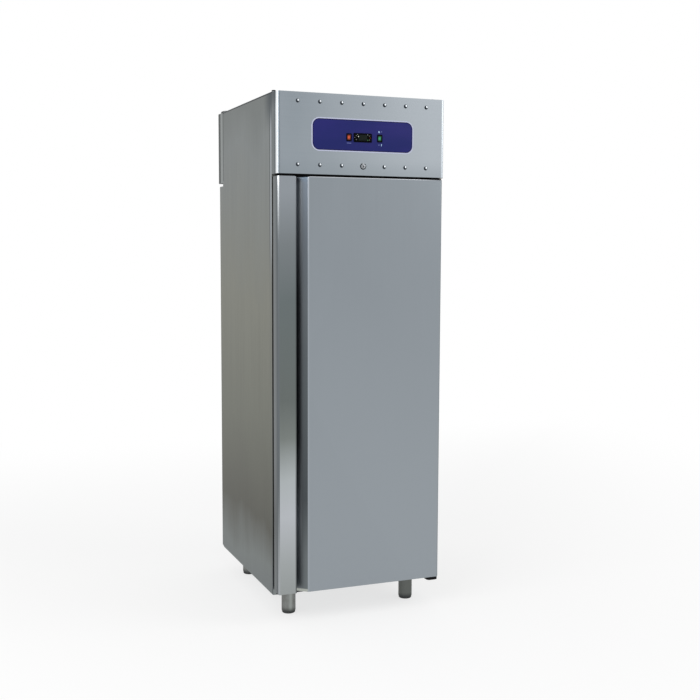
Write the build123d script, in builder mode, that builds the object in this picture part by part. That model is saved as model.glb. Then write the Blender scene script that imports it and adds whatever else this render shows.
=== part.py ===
from build123d import *

import os
from math import sqrt

# An upright commercial freezer: an insulated one-door cabinet on four legs, with its refrigeration unit
# in a compartment on top, behind a bolted fascia. Millimetres, +Z up, +Y from the door to the back,
# +X to the right of someone who faces the door. The origin is on the floor, under the middle.

os.makedirs("parts", exist_ok=True)

# Sheet thicknesses and working gaps
sheet = 1.0
frame_sheet = 1.5
tray_sheet = 2.0
seat_gap = 0.3
pin_clearance = 0.06

# Insulated cabinet, outside and inside
overall_width = 710.0
leg_height = 104.0
body_height = 1673.0
body_depth = 781.0
side_wall = 70.0
floor_wall = 66.0
roof_wall = 60.0
back_wall = 65.0
liner_radius = 16.0
heel_depth = 30.0
heel_rise = 7.0
front_flange = 14.0
top_flange = 22.0

# Door
door_thickness = 58.0
gasket_gap = 15.0
door_lift = 20.0
door_rise = 3.0
door_left_inset = 0.5
door_right_inset = 5.0
door_corner_radius = 9.0
panel_edge_radius = 6.0

# Handle pressed into the door skin: a flat bar, a finger groove behind it, a slope out of the groove
handle_width = 69.5
handle_undercut = 6.0
groove_depth = 36.0
groove_floor = 20.0
groove_slope = 42.0
groove_radius = 4.0

# Gasket, and the raised panel of the door liner
gasket_overlap = 40.0
gasket_width = 24.0
dike_inset = 12.0
dike_height = 25.0
dike_taper = 12.0

# Machine compartment above the cabinet
fascia_gap = 7.0
fascia_height = 313.0
fascia_sheet = 1.2
fascia_radius = 11.0
fascia_lip = 12.0
upper_side_inset = 54.0
side_rise = 3.0
cover_notch = 14.0
rear_cover_overhang = 18.0
hood_front = 93.0
hood_back = 18.0
hood_height = 9.0
cover_overlap = 12.0

# How far the lock, the frontmost piece, stands proud of the door's front
front_proud = 4.0

# Levels and planes that follow from the sizes above
half_width = overall_width / 2
overall_depth = front_proud + door_thickness + gasket_gap + body_depth + rear_cover_overhang
door_front_y = front_proud - overall_depth / 2
door_back_y = door_front_y + door_thickness
cabinet_front_y = door_back_y + gasket_gap
body_back_y = cabinet_front_y + body_depth
upper_back_y = body_back_y - upper_side_inset
cover_back_y = body_back_y + rear_cover_overhang
body_bottom_z = leg_height
body_top_z = body_bottom_z + body_height
door_bottom_z = body_bottom_z + door_lift
door_top_z = body_top_z + door_rise
fascia_bottom_z = door_top_z + fascia_gap
fascia_top_z = fascia_bottom_z + fascia_height
side_top_z = fascia_top_z + side_rise
cover_top_z = side_top_z + sheet
inner_half = half_width - side_wall
floor_z = body_bottom_z + floor_wall
ceiling_z = body_top_z - roof_wall
inner_back_y = body_back_y - back_wall
shell_half = half_width - sheet
frame_back_y = cabinet_front_y + frame_sheet


def block(x, y, z, mode=Mode.ADD):
    """A square-edged block between two values along each axis."""
    centre = ((x[0] + x[1]) / 2, (y[0] + y[1]) / 2, (z[0] + z[1]) / 2)
    with Locations(centre):
        return Box(abs(x[1] - x[0]), abs(y[1] - y[0]), abs(z[1] - z[0]), mode=mode)


def facing_front(y):
    """The upright plane at y, whose sketches read X to the right and Z up."""
    return Plane.XZ.offset(-y)


# Pipes and drain that pass through the cabinet's insulation
pipe_hole_size = 34.0
pipe_hole_inset = 63.5
pipe_hole_x = inner_half - pipe_hole_inset
pipe_hole_y = inner_back_y - 45.0
drain_radius = 9.0
drain_sides = 8
drain_inset = 21.0
drain_x = drain_inset - inner_half
drain_y = inner_back_y - 12.0
drain_outlet = 12.0


def pipe_opening(z, height):
    """Cuts the square way for the refrigerant pipes through a sheet or a wall."""
    block(
        (pipe_hole_x - pipe_hole_size / 2, pipe_hole_x + pipe_hole_size / 2),
        (pipe_hole_y - pipe_hole_size / 2, pipe_hole_y + pipe_hole_size / 2),
        (z - height, z + height),
        mode=Mode.SUBTRACT,
    )


with BuildPart() as drain_way:
    with BuildSketch(Plane.XY):
        with Locations((drain_x, drain_y)):
            RegularPolygon(drain_radius + seat_gap, drain_sides)
    extrude(amount=floor_z + drain_radius)

# Bolts of the covers, which pass into the top flanges of the side panels
bolt_neck = 5.0
cover_bolt_inset = 14.0
cover_bolt_x = half_width - cover_bolt_inset
cover_bolt_front_y = cabinet_front_y + 16.0
cover_bolt_back_y = upper_back_y - 9.0

# Side panels: one sheet each, with flanges turned in at the front and the top.
with BuildPart() as side_panel_left:
    with BuildSketch(Plane.YZ.offset(-half_width)):
        with BuildLine():
            Polyline(
                (cabinet_front_y, body_bottom_z),
                (body_back_y - heel_depth, body_bottom_z),
                (body_back_y, body_bottom_z + heel_rise),
                (body_back_y, body_top_z),
                (upper_back_y, body_top_z),
                (upper_back_y, side_top_z),
                (cabinet_front_y, side_top_z),
                close=True,
            )
        make_face()
    extrude(amount=sheet)
    block(
        (-half_width, -half_width + front_flange),
        (cabinet_front_y, cabinet_front_y + sheet),
        (body_bottom_z, side_top_z),
    )
    block(
        (-half_width, -half_width + top_flange),
        (cabinet_front_y, upper_back_y),
        (side_top_z - sheet, side_top_z),
    )
    block(
        (-half_width, -half_width + top_flange),
        (upper_back_y - sheet, upper_back_y),
        (body_top_z + cover_notch, side_top_z),
    )
    with BuildSketch(Plane.XY.offset(side_top_z)):
        with Locations((-cover_bolt_x, cover_bolt_front_y), (-cover_bolt_x, cover_bolt_back_y)):
            Rectangle(bolt_neck + 2 * seat_gap, bolt_neck + 2 * seat_gap)
    extrude(amount=-2 * sheet, mode=Mode.SUBTRACT)

side_panel_left.part.label = "side_panel_left"
export_step(side_panel_left.part, "parts/side_panel_left.step")

with BuildPart() as side_panel_right:
    mirror(side_panel_left.part, about=Plane.YZ)

side_panel_right.part.label = "side_panel_right"
export_step(side_panel_right.part, "parts/side_panel_right.step")

# Base panel: the underside between the side panels, sloped up at the heel.
with BuildPart() as base_panel:
    with BuildSketch(Plane.YZ.offset(-shell_half)):
        with BuildLine():
            Polyline(
                (frame_back_y, body_bottom_z),
                (body_back_y - heel_depth, body_bottom_z),
                (body_back_y, body_bottom_z + heel_rise),
                (body_back_y, body_bottom_z + heel_rise + sheet),
                (body_back_y - heel_depth, body_bottom_z + sheet),
                (frame_back_y, body_bottom_z + sheet),
                close=True,
            )
        make_face()
    extrude(amount=2 * shell_half)
    add(drain_way.part, mode=Mode.SUBTRACT)

base_panel.part.label = "base_panel"
export_step(base_panel.part, "parts/base_panel.step")

# Back panel: a sheet between the side panels, from the heel to the top of the insulation.
with BuildPart() as back_panel:
    block(
        (-shell_half, shell_half),
        (body_back_y - sheet, body_back_y),
        (body_bottom_z + heel_rise + sheet, body_top_z),
    )

back_panel.part.label = "back_panel"
export_step(back_panel.part, "parts/back_panel.step")

# Roof panel: the sheet over the insulation, and the floor of the machine compartment.
with BuildPart() as roof_panel:
    block(
        (-shell_half, shell_half),
        (frame_back_y, body_back_y - sheet),
        (body_top_z - sheet, body_top_z),
    )
    pipe_opening(body_top_z, 2 * sheet)

roof_panel.part.label = "roof_panel"
export_step(roof_panel.part, "parts/roof_panel.step")

# Inner liner: an open-fronted box with coved long edges, made as a shell of one sheet.
lip_depth = 25.0
liner_front_y = cabinet_front_y + lip_depth
liner_span = (
    (-inner_half - sheet, inner_half + sheet),
    (liner_front_y, inner_back_y + sheet),
    (floor_z - sheet, ceiling_z + sheet),
)
with BuildPart() as inner_liner:
    block(*liner_span)
    fillet(inner_liner.edges().filter_by(Axis.Y), liner_radius)
    offset(amount=-sheet, openings=inner_liner.faces().sort_by(Axis.Y)[0])
    pipe_opening(ceiling_z, 2 * sheet)
    add(drain_way.part, mode=Mode.SUBTRACT)

inner_liner.part.label = "inner_liner"
export_step(inner_liner.part, "parts/inner_liner.step")

# Insulation: foam that fills the walls between the liner and the outer sheets.
with BuildPart() as body_foam:
    with BuildSketch(Plane.YZ.offset(-shell_half)):
        with BuildLine():
            Polyline(
                (frame_back_y, body_bottom_z + sheet),
                (body_back_y - heel_depth, body_bottom_z + sheet),
                (body_back_y - sheet, body_bottom_z + sheet + heel_rise * (1 - sheet / heel_depth)),
                (body_back_y - sheet, body_top_z - sheet),
                (frame_back_y, body_top_z - sheet),
                close=True,
            )
        make_face()
    extrude(amount=2 * shell_half)
    block(*liner_span, mode=Mode.SUBTRACT)
    block(
        (-inner_half - frame_sheet, inner_half + frame_sheet),
        (cabinet_front_y, liner_front_y),
        (floor_z - frame_sheet, ceiling_z + frame_sheet),
        mode=Mode.SUBTRACT,
    )
    pipe_opening(ceiling_z, 2 * roof_wall)
    add(drain_way.part, mode=Mode.SUBTRACT)

body_foam.part.label = "body_foam"
export_step(body_foam.part, "parts/body_foam.step")

# Front frame: the ring that the gasket closes on, with a lip turned into the opening all round.
frame_top_rise = 32.0
frame_half = half_width - front_flange
frame_top_z = body_top_z + frame_top_rise
opening_height = ceiling_z - floor_z
opening_mid_z = (ceiling_z + floor_z) / 2
with BuildPart() as front_frame:
    with BuildSketch(facing_front(frame_back_y)):
        with Locations((0, body_bottom_z)):
            Rectangle(2 * frame_half, frame_top_z - body_bottom_z, align=(Align.CENTER, Align.MIN))
        with Locations((0, opening_mid_z)):
            Rectangle(2 * inner_half, opening_height, mode=Mode.SUBTRACT)
    extrude(amount=frame_sheet)
    with BuildSketch(facing_front(liner_front_y)):
        with Locations((0, opening_mid_z)):
            Rectangle(2 * (inner_half + frame_sheet), opening_height + 2 * frame_sheet)
            Rectangle(2 * inner_half, opening_height, mode=Mode.SUBTRACT)
    extrude(amount=lip_depth - frame_sheet)

front_frame.part.label = "front_frame"
export_step(front_frame.part, "parts/front_frame.step")

# Shelf uprights: four channels fixed to the liner's sides, slotted for the runners' hooks.
upright_depth = 10.0
upright_width = 24.0
upright_sheet = 1.2
upright_rise = 30.0
upright_drop = 317.0
upright_front_inset = 110.0
upright_back_inset = 130.0
first_slot_rise = 130.0
last_slot_drop = 170.0
slot_count = 5
slot_height = 6.0
slot_width = 12.0
upright_bottom_z = floor_z + upright_rise
upright_top_z = ceiling_z - upright_drop
first_slot_z = upright_bottom_z + first_slot_rise
slot_pitch = (upright_top_z - last_slot_drop - first_slot_z) / (slot_count - 1)
upright_front_y = cabinet_front_y + upright_front_inset
upright_back_y = inner_back_y - upright_back_inset
upright_mid_y = (upright_front_y + upright_back_y) / 2
upright_spacing = upright_back_y - upright_front_y
upright_face_x = inner_half - upright_depth
with BuildPart() as shelf_uprights:
    with BuildSketch(Plane.XY.offset(upright_bottom_z)):
        with Locations((0, upright_mid_y)):
            with GridLocations(2 * inner_half - upright_depth, upright_spacing, 2, 2):
                Rectangle(upright_depth, upright_width)
        with Locations((0, upright_mid_y)):
            with GridLocations(2 * inner_half - upright_depth, upright_spacing, 2, 2):
                Rectangle(
                    upright_depth - 2 * upright_sheet, upright_width - 2 * upright_sheet, mode=Mode.SUBTRACT
                )
    extrude(amount=upright_top_z - upright_bottom_z)
    for side in (-1, 1):
        with BuildSketch(Plane.YZ.offset(side * (upright_face_x + upright_sheet))):
            with Locations((upright_mid_y, first_slot_z + slot_pitch * (slot_count - 1) / 2)):
                with GridLocations(upright_spacing, slot_pitch, 2, slot_count):
                    Rectangle(slot_width, slot_height)
        extrude(amount=-2 * side * upright_sheet, mode=Mode.SUBTRACT)

shelf_uprights.part.label = "shelf_uprights"
export_step(shelf_uprights.part, "parts/shelf_uprights.step")

# Shelf runners: six angles that hook into the uprights, with a stop turned up at the back.
runner_leg = 20.0
runner_width = 24.0
runner_slots = (0, 2, 4)
runner_set_back = 60.0
shelf_set_back = 36.2
shelf_side_gap = 20.0
duct_gap = 3.0
stop_height = 12.0
duct_depth = 25.0
runner_front_y = cabinet_front_y + runner_set_back
shelf_front_y = cabinet_front_y + shelf_set_back
shelf_back_y = inner_back_y - duct_depth - duct_gap - frame_sheet
shelf_length = shelf_back_y - seat_gap - shelf_front_y
hook_length = 4.0
with BuildPart() as shelf_runners:
    for slot in runner_slots:
        level = first_slot_z + slot * slot_pitch - slot_height / 2
        for side in (-1, 1):
            wall_x = side * upright_face_x
            with BuildSketch(facing_front(runner_front_y)):
                with BuildLine():
                    Polyline(
                        (wall_x, level),
                        (wall_x - side * runner_width, level),
                        (wall_x - side * runner_width, level + frame_sheet),
                        (wall_x - side * frame_sheet, level + frame_sheet),
                        (wall_x - side * frame_sheet, level + runner_leg),
                        (wall_x, level + runner_leg),
                        close=True,
                    )
                make_face()
            extrude(amount=runner_front_y - shelf_back_y - frame_sheet)
            block(
                (wall_x - side * runner_width, wall_x - side * frame_sheet),
                (shelf_back_y, shelf_back_y + frame_sheet),
                (level, level + stop_height),
            )
            for y in (upright_front_y, upright_back_y):
                block(
                    (wall_x, wall_x + side * hook_length),
                    (y - slot_width / 2 + seat_gap, y + slot_width / 2 - seat_gap),
                    (level + seat_gap, level + slot_height - seat_gap),
                )

shelf_runners.part.label = "shelf_runners"
export_step(shelf_runners.part, "parts/shelf_runners.step")

# Wire shelves: a frame of rods, with thin wires welded between its front and back rods and a flat bar
# under their middle. The rods are drawn six-sided, and the wires square.
shelf_width = 2 * (inner_half - shelf_side_gap)
rod_across = 8.0
wire_across = 4.0
wire_count = 13
wire_pitch = (shelf_width - rod_across) / (wire_count + 1)
cross_bar = 2.5


def across_flats(size):
    """The corner radius of a hexagon of this size between its flats."""
    return size / sqrt(3)


def make_wire_shelf(underside_z):
    """One shelf, from its back rod at the runners' stops to its front rod."""
    back_y = shelf_back_y - seat_gap
    mid_y = back_y - shelf_length / 2
    rod_z = underside_z + across_flats(rod_across)
    with BuildPart() as shelf:
        with BuildSketch(facing_front(back_y)):
            with Locations((0, rod_z)):
                with GridLocations(shelf_width - rod_across, 0, 2, 1):
                    RegularPolygon(across_flats(rod_across), 6, rotation=30)
        extrude(amount=shelf_length)
        with BuildSketch(Plane.YZ.offset(-shelf_width / 2 + rod_across)):
            with Locations((mid_y, rod_z)):
                with GridLocations(shelf_length - rod_across, 0, 2, 1):
                    RegularPolygon(across_flats(rod_across), 6, rotation=30)
            with Locations((mid_y, rod_z - (wire_across + cross_bar) / 2)):
                Rectangle(wire_across, cross_bar)
        extrude(amount=shelf_width - 2 * rod_across)
        with BuildSketch(facing_front(back_y - rod_across)):
            with Locations((0, rod_z)):
                with GridLocations(wire_pitch, 0, wire_count, 1):
                    Rectangle(wire_across, wire_across)
        extrude(amount=shelf_length - 2 * rod_across)
    return shelf.part


for number, slot in enumerate(runner_slots, start=1):
    rest_z = first_slot_z + slot * slot_pitch - slot_height / 2 + frame_sheet + seat_gap
    wire_shelf = make_wire_shelf(rest_z)
    wire_shelf.label = f"wire_shelf_{number}"
    export_step(wire_shelf, f"parts/wire_shelf_{number}.step")

# Controls and lock on the fascia: their places, and the openings that they need
controls_rise = 148.0
controls_z = fascia_bottom_z + controls_rise
controller_x = -3.0
controller_width = 77.0
controller_height = 35.0
controller_cutout_width = 71.0
controller_cutout_height = 29.0
red_switch_x = -61.0
green_switch_x = 70.0
switch_width = 22.0
switch_height = 30.0
switch_cutout_width = 19.0
switch_cutout_height = 26.0
bolt_count = 7
bolt_side_inset = 82.0
bolt_row_rise = 37.0
bolt_row_drop = 34.0
bolt_pitch = 2 * (half_width - bolt_side_inset) / (bolt_count - 1)
bolt_row_low_z = fascia_bottom_z + bolt_row_rise
bolt_row_high_z = fascia_top_z - bolt_row_drop
lock_radius = 9.0
lock_sides = 16
control_centres = (
    (red_switch_x, switch_cutout_width, switch_cutout_height),
    (controller_x, controller_cutout_width, controller_cutout_height),
    (green_switch_x, switch_cutout_width, switch_cutout_height),
)
bolt_row = [bolt_pitch * (i - (bolt_count - 1) / 2) for i in range(bolt_count)]
bolt_points = [(x, bolt_row_high_z) for x in bolt_row]
bolt_points += [(x, bolt_row_low_z) for x in bolt_row if x != 0]

# Fascia: a hood with rounded upright corners, returned to the side panels, with a short lip below.
hood_depth = door_thickness + gasket_gap
with BuildPart() as fascia_panel:
    with BuildSketch(Plane.XY.offset(fascia_bottom_z)) as fascia_plan:
        with Locations((0, door_front_y)):
            Rectangle(overall_width, hood_depth, align=(Align.CENTER, Align.MIN))
        fillet(fascia_plan.vertices().group_by(Axis.Y)[0], fascia_radius)
    extrude(amount=fascia_height)
    offset(amount=-fascia_sheet, openings=fascia_panel.faces().sort_by(Axis.Y)[-1])
    block(
        (-half_width + fascia_sheet, half_width - fascia_sheet),
        (door_front_y + fascia_lip, cabinet_front_y),
        (fascia_bottom_z, fascia_bottom_z + fascia_sheet),
        mode=Mode.SUBTRACT,
    )
    with BuildSketch(facing_front(door_front_y)):
        for x, width, height in control_centres:
            with Locations((x, controls_z)):
                Rectangle(width + 2 * seat_gap, height + 2 * seat_gap)
        with Locations(*bolt_points):
            Rectangle(bolt_neck + 2 * seat_gap, bolt_neck + 2 * seat_gap)
        with Locations((0, bolt_row_low_z)):
            RegularPolygon(lock_radius + seat_gap, lock_sides)
    extrude(amount=-2 * fascia_sheet, mode=Mode.SUBTRACT)

fascia_panel.part.label = "fascia_panel"
export_step(fascia_panel.part, "parts/fascia_panel.step")

# Fascia rails: two channels from side panel to side panel, which the fascia is bolted to.
rail_height = 29.0
rail_sheet = 1.5
rail_half = half_width - fascia_radius - seat_gap
rail_front_y = door_front_y + fascia_sheet
lock_cam_length = 50.0
lock_cam_width = 14.0
lock_cam_thickness = 3.0
with BuildPart() as fascia_rails:
    for row_z in (bolt_row_low_z, bolt_row_high_z):
        top = row_z + rail_height / 2
        with BuildSketch(Plane.YZ.offset(-rail_half)):
            with BuildLine():
                Polyline(
                    (rail_front_y, top - rail_height),
                    (rail_front_y, top),
                    (cabinet_front_y, top),
                    (cabinet_front_y, top - rail_height),
                    (cabinet_front_y - rail_sheet, top - rail_height),
                    (cabinet_front_y - rail_sheet, top - rail_sheet),
                    (rail_front_y + rail_sheet, top - rail_sheet),
                    (rail_front_y + rail_sheet, top - rail_height),
                    close=True,
                )
            make_face()
        extrude(amount=2 * rail_half)
    with BuildSketch(facing_front(rail_front_y)):
        with Locations(*bolt_points):
            Rectangle(bolt_neck + 2 * seat_gap, bolt_neck + 2 * seat_gap)
        with Locations((0, bolt_row_low_z)):
            RegularPolygon(lock_radius + seat_gap, lock_sides)
    extrude(amount=-2 * rail_sheet, mode=Mode.SUBTRACT)

fascia_rails.part.label = "fascia_rails"
export_step(fascia_rails.part, "parts/fascia_rails.step")

# Bolts: low domed heads, drawn twelve-sided, with square necks that can't turn in their square holes.
bolt_head_radius = 6.5
bolt_head_height = 3.0
bolt_head_taper = 40.0
bolt_length = 8.0


def make_bolt(length):
    """A bolt whose head stands on the level that its neck passes down through."""
    with BuildPart() as bolt:
        with BuildSketch(Plane.XY):
            RegularPolygon(bolt_head_radius, 12)
        extrude(amount=bolt_head_height, taper=bolt_head_taper)
        block((-bolt_neck / 2, bolt_neck / 2), (-bolt_neck / 2, bolt_neck / 2), (-length, 0))
    return bolt.part


fascia_bolt = make_bolt(bolt_length)
with BuildPart() as fascia_bolts:
    with Locations(*[(x, door_front_y, z) for x, z in bolt_points]):
        add(fascia_bolt, rotation=(90, 0, 0))

fascia_bolts.part.label = "fascia_bolts"
export_step(fascia_bolts.part, "parts/fascia_bolts.step")

# Control label: a thin coloured plate with rounded corners, behind the controls.
label_width = 418.0
label_height = 120.0
label_rise = 8.0
label_z = controls_z + label_rise
label_radius = 26.0
label_thickness = 0.5
label_front_y = door_front_y - label_thickness
with BuildPart() as control_label:
    with BuildSketch(facing_front(door_front_y)):
        with Locations((0, label_z)):
            RectangleRounded(label_width, label_height, label_radius)
        for x, width, height in control_centres:
            with Locations((x, controls_z)):
                Rectangle(width + 2 * seat_gap, height + 2 * seat_gap, mode=Mode.SUBTRACT)
    extrude(amount=label_thickness)

control_label.part.label = "control_label"
export_step(control_label.part, "parts/control_label.step")

# Controller: a moulded bezel with pockets for a window and four keys, and a body behind the fascia.
bezel_height = 2.8
bezel_radius = 3.0
controller_depth = 60.0
window_width = 36.0
window_height = 22.0
window_thickness = 1.2
key_width = 11.0
key_height = 8.0
key_spread = 56.0
key_row_gap = 14.0
key_pocket = 2.6
key_proud = 0.7
key_travel = 0.6
bezel_front_y = label_front_y - bezel_height
key_points = [
    (controller_x + x * key_spread / 2, controls_z + z * key_row_gap / 2) for z in (1, -1) for x in (-1, 1)
]
with BuildPart() as controller_case:
    with BuildSketch(facing_front(label_front_y)):
        with Locations((controller_x, controls_z)):
            RectangleRounded(controller_width, controller_height, bezel_radius)
    extrude(amount=bezel_height)
    with BuildSketch(facing_front(label_front_y)):
        with Locations((controller_x, controls_z)):
            Rectangle(controller_cutout_width, controller_cutout_height)
    extrude(amount=-controller_depth)
    with BuildSketch(facing_front(bezel_front_y)):
        with Locations(*key_points):
            Rectangle(key_width + 2 * seat_gap, key_height + 2 * seat_gap)
    extrude(amount=-key_pocket, mode=Mode.SUBTRACT)
    with BuildSketch(facing_front(bezel_front_y)):
        with Locations((controller_x, controls_z)):
            Rectangle(window_width, window_height)
    extrude(amount=-window_thickness, mode=Mode.SUBTRACT)

controller_case.part.label = "controller_case"
export_step(controller_case.part, "parts/controller_case.step")

with BuildPart() as controller_window:
    block(
        (controller_x - window_width / 2, controller_x + window_width / 2),
        (bezel_front_y, bezel_front_y + window_thickness),
        (controls_z - window_height / 2, controls_z + window_height / 2),
    )

controller_window.part.label = "controller_window"
export_step(controller_window.part, "parts/controller_window.step")

for number, (key_x, key_z) in enumerate(key_points, start=1):
    with BuildPart() as controller_key:
        block(
            (key_x - key_width / 2, key_x + key_width / 2),
            (bezel_front_y - key_proud, bezel_front_y + key_pocket - key_travel - seat_gap),
            (key_z - key_height / 2, key_z + key_height / 2),
        )
        chamfer(controller_key.faces().sort_by(Axis.Y)[0].edges(), key_proud / 2)
    controller_key.part.label = f"controller_key_{number}"
    export_step(controller_key.part, f"parts/controller_key_{number}.step")

# Switches: a moulded frame with a body behind the fascia, round a rocker on a pivot.
switch_bezel = 2.0
switch_corner = 1.5
switch_body_depth = 22.0
rocker_width = 15.0
rocker_radius = 11.2
rocker_tilt = 8.0
rocker_clearance = 0.4
pivot_depth = 1.0
rocker_rise = 3.1
rocker_valley = 1.4
rocker_hidden = 8.0
switch_front_y = label_front_y - switch_bezel
pivot_y = label_front_y + pivot_depth
with BuildPart() as switch_housings:
    for x in (red_switch_x, green_switch_x):
        with BuildSketch(facing_front(label_front_y)) as switch_frame:
            with Locations((x, controls_z)):
                Rectangle(switch_width, switch_height)
            chamfer(switch_frame.vertices(), switch_corner)
        extrude(amount=switch_bezel)
        with BuildSketch(facing_front(label_front_y)):
            with Locations((x, controls_z)):
                Rectangle(switch_cutout_width, switch_cutout_height)
        extrude(amount=-switch_body_depth)
        block(
            (x - rocker_width / 2 - rocker_clearance, x + rocker_width / 2 + rocker_clearance),
            (switch_front_y, pivot_y + rocker_radius + rocker_clearance),
            (controls_z - rocker_radius - rocker_clearance, controls_z + rocker_radius + rocker_clearance),
            mode=Mode.SUBTRACT,
        )

switch_housings.part.label = "switch_housings"
export_step(switch_housings.part, "parts/switch_housings.step")


def make_rocker(x):
    """A rocker whose two faces meet in a shallow valley, tilted about its pivot to the side it rests on."""
    with BuildPart() as rocker:
        with BuildSketch(Plane.YZ.offset(x - rocker_width / 2)) as rocker_side:
            with Locations((pivot_y, controls_z)):
                Circle(rocker_radius)
            with BuildLine():
                Polyline(
                    (pivot_y - rocker_rise, controls_z - 2 * rocker_radius),
                    (pivot_y - rocker_rise, controls_z - rocker_radius),
                    (pivot_y - rocker_valley, controls_z),
                    (pivot_y - rocker_rise, controls_z + rocker_radius),
                    (pivot_y - rocker_rise, controls_z + 2 * rocker_radius),
                    (pivot_y + rocker_hidden, controls_z + 2 * rocker_radius),
                    (pivot_y + rocker_hidden, controls_z - 2 * rocker_radius),
                    close=True,
                )
            make_face(mode=Mode.INTERSECT)
        extrude(amount=rocker_width)
    pivot = Axis((x, pivot_y, controls_z), (1, 0, 0))
    return rocker.part.rotate(pivot, rocker_tilt)


red_rocker = make_rocker(red_switch_x)
red_rocker.label = "red_rocker"
export_step(red_rocker, "parts/red_rocker.step")

green_rocker = make_rocker(green_switch_x)
green_rocker.label = "green_rocker"
export_step(green_rocker, "parts/green_rocker.step")

# Door lock: a barrel held in the fascia, round a core whose cam drops into the top of the door.
lock_flange_radius = 11.0
lock_flange = 2.5
lock_flange_taper = 25.0
lock_core_radius = 6.5
lock_depth = 17.0
lock_nut = 4.0
keyway_width = 2.0
keyway_height = 8.0
keyway_depth = 6.0
cam_front_y = door_front_y + lock_depth + seat_gap
with BuildPart() as upright_barrel:
    with BuildSketch(Plane.XY):
        RegularPolygon(lock_flange_radius, lock_sides)
    extrude(amount=lock_flange, taper=lock_flange_taper)
    with BuildSketch(Plane.XY):
        RegularPolygon(lock_radius, lock_sides)
    extrude(amount=-lock_depth)
    with BuildSketch(Plane.XY.offset(-fascia_sheet - rail_sheet)):
        RegularPolygon(across_flats(2 * lock_flange_radius), 6)
    extrude(amount=-lock_nut)
    with BuildSketch(Plane.XY.offset(-lock_depth)):
        Circle(lock_core_radius + pin_clearance)
    extrude(amount=lock_depth + lock_flange, mode=Mode.SUBTRACT)

with BuildPart() as lock_barrel:
    with Locations((0, door_front_y, bolt_row_low_z)):
        add(upright_barrel.part, rotation=(90, 0, 0))

lock_barrel.part.label = "lock_barrel"
export_step(lock_barrel.part, "parts/lock_barrel.step")

with BuildPart() as lock_core:
    with BuildSketch(facing_front(cam_front_y)):
        with Locations((0, bolt_row_low_z)):
            Circle(lock_core_radius)
    extrude(amount=cam_front_y - door_front_y + front_proud)
    with BuildSketch(facing_front(door_front_y - front_proud)):
        with Locations((0, bolt_row_low_z)):
            Rectangle(keyway_width, keyway_height)
    extrude(amount=-keyway_depth, mode=Mode.SUBTRACT)
    with BuildSketch(facing_front(cam_front_y)):
        with Locations((-lock_cam_length / 2 + lock_cam_width / 4, bolt_row_low_z)):
            Rectangle(lock_cam_length + lock_cam_width / 2, lock_cam_width)
    extrude(amount=-lock_cam_thickness)

lock_core.part.label = "lock_core"
export_step(lock_core.part, "parts/lock_core.step")

# Top cover: a louvred sheet on the side panels' flanges, turned down at the front onto the fascia.
vent_length = 200.0
vent_width = 8.0
vent_pitch = 42.0
vent_rows = 5
vent_spacing = 250.0
top_cover_front_y = cabinet_front_y - cover_overlap
with BuildPart() as top_cover:
    with BuildSketch(Plane.YZ.offset(-half_width)):
        with BuildLine():
            Polyline(
                (top_cover_front_y, fascia_top_z),
                (top_cover_front_y, cover_top_z),
                (upper_back_y, cover_top_z),
                (upper_back_y, side_top_z),
                (top_cover_front_y + sheet, side_top_z),
                (top_cover_front_y + sheet, fascia_top_z),
                close=True,
            )
        make_face()
    extrude(amount=overall_width)
    with BuildSketch(Plane.XY.offset(side_top_z)):
        with GridLocations(vent_spacing, vent_pitch, 2, vent_rows):
            Rectangle(vent_length, vent_width)
        for x in (-cover_bolt_x, cover_bolt_x):
            with Locations((x, cover_bolt_front_y), (x, cover_bolt_back_y)):
                Rectangle(bolt_neck + 2 * seat_gap, bolt_neck + 2 * seat_gap)
    extrude(amount=sheet, mode=Mode.SUBTRACT)

top_cover.part.label = "top_cover"
export_step(top_cover.part, "parts/top_cover.step")

# Rear cover: closes the compartment behind the side panels, and hooks over the top in a low hood.
hood_top_z = cover_top_z + hood_height
hood_front_y = upper_back_y - hood_front
hood_back_y = cover_back_y - hood_back
cover_bottom_z = body_top_z + cover_notch
rear_vent_width = 240.0
rear_vent_height = 8.0
rear_vent_pitch = 40.0
rear_vent_rows = 5
rear_vent_spacing = 290.0
with BuildPart() as rear_cover:
    with BuildSketch(Plane.YZ.offset(-half_width)):
        with BuildLine():
            Polyline(
                (upper_back_y, cover_bottom_z),
                (cover_back_y, cover_bottom_z),
                (cover_back_y, cover_top_z),
                (hood_back_y, cover_top_z),
                (hood_back_y, hood_top_z),
                (hood_front_y, hood_top_z),
                (hood_front_y, cover_top_z),
                (upper_back_y, cover_top_z),
                close=True,
            )
        make_face()
    extrude(amount=overall_width)
    with BuildSketch(Plane.YZ.offset(-half_width + sheet)):
        with BuildLine():
            Polyline(
                (upper_back_y, cover_bottom_z),
                (cover_back_y - sheet, cover_bottom_z),
                (cover_back_y - sheet, cover_top_z - sheet),
                (hood_back_y - sheet, cover_top_z - sheet),
                (hood_back_y - sheet, hood_top_z - sheet),
                (hood_front_y + sheet, hood_top_z - sheet),
                (hood_front_y + sheet, cover_top_z),
                (upper_back_y, cover_top_z),
                close=True,
            )
        make_face()
    extrude(amount=overall_width - 2 * sheet, mode=Mode.SUBTRACT)
    with BuildSketch(facing_front(cover_back_y)):
        with Locations((0, (cover_bottom_z + side_top_z) / 2)):
            with GridLocations(rear_vent_spacing, rear_vent_pitch, 2, rear_vent_rows):
                Rectangle(rear_vent_width, rear_vent_height)
    extrude(amount=sheet, mode=Mode.SUBTRACT)
    with BuildSketch(Plane.XY.offset(hood_top_z - sheet)):
        with Locations((-cover_bolt_x, cover_bolt_back_y), (cover_bolt_x, cover_bolt_back_y)):
            Rectangle(bolt_neck + 2 * seat_gap, bolt_neck + 2 * seat_gap)
    extrude(amount=sheet, mode=Mode.SUBTRACT)

rear_cover.part.label = "rear_cover"
export_step(rear_cover.part, "parts/rear_cover.step")

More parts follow.
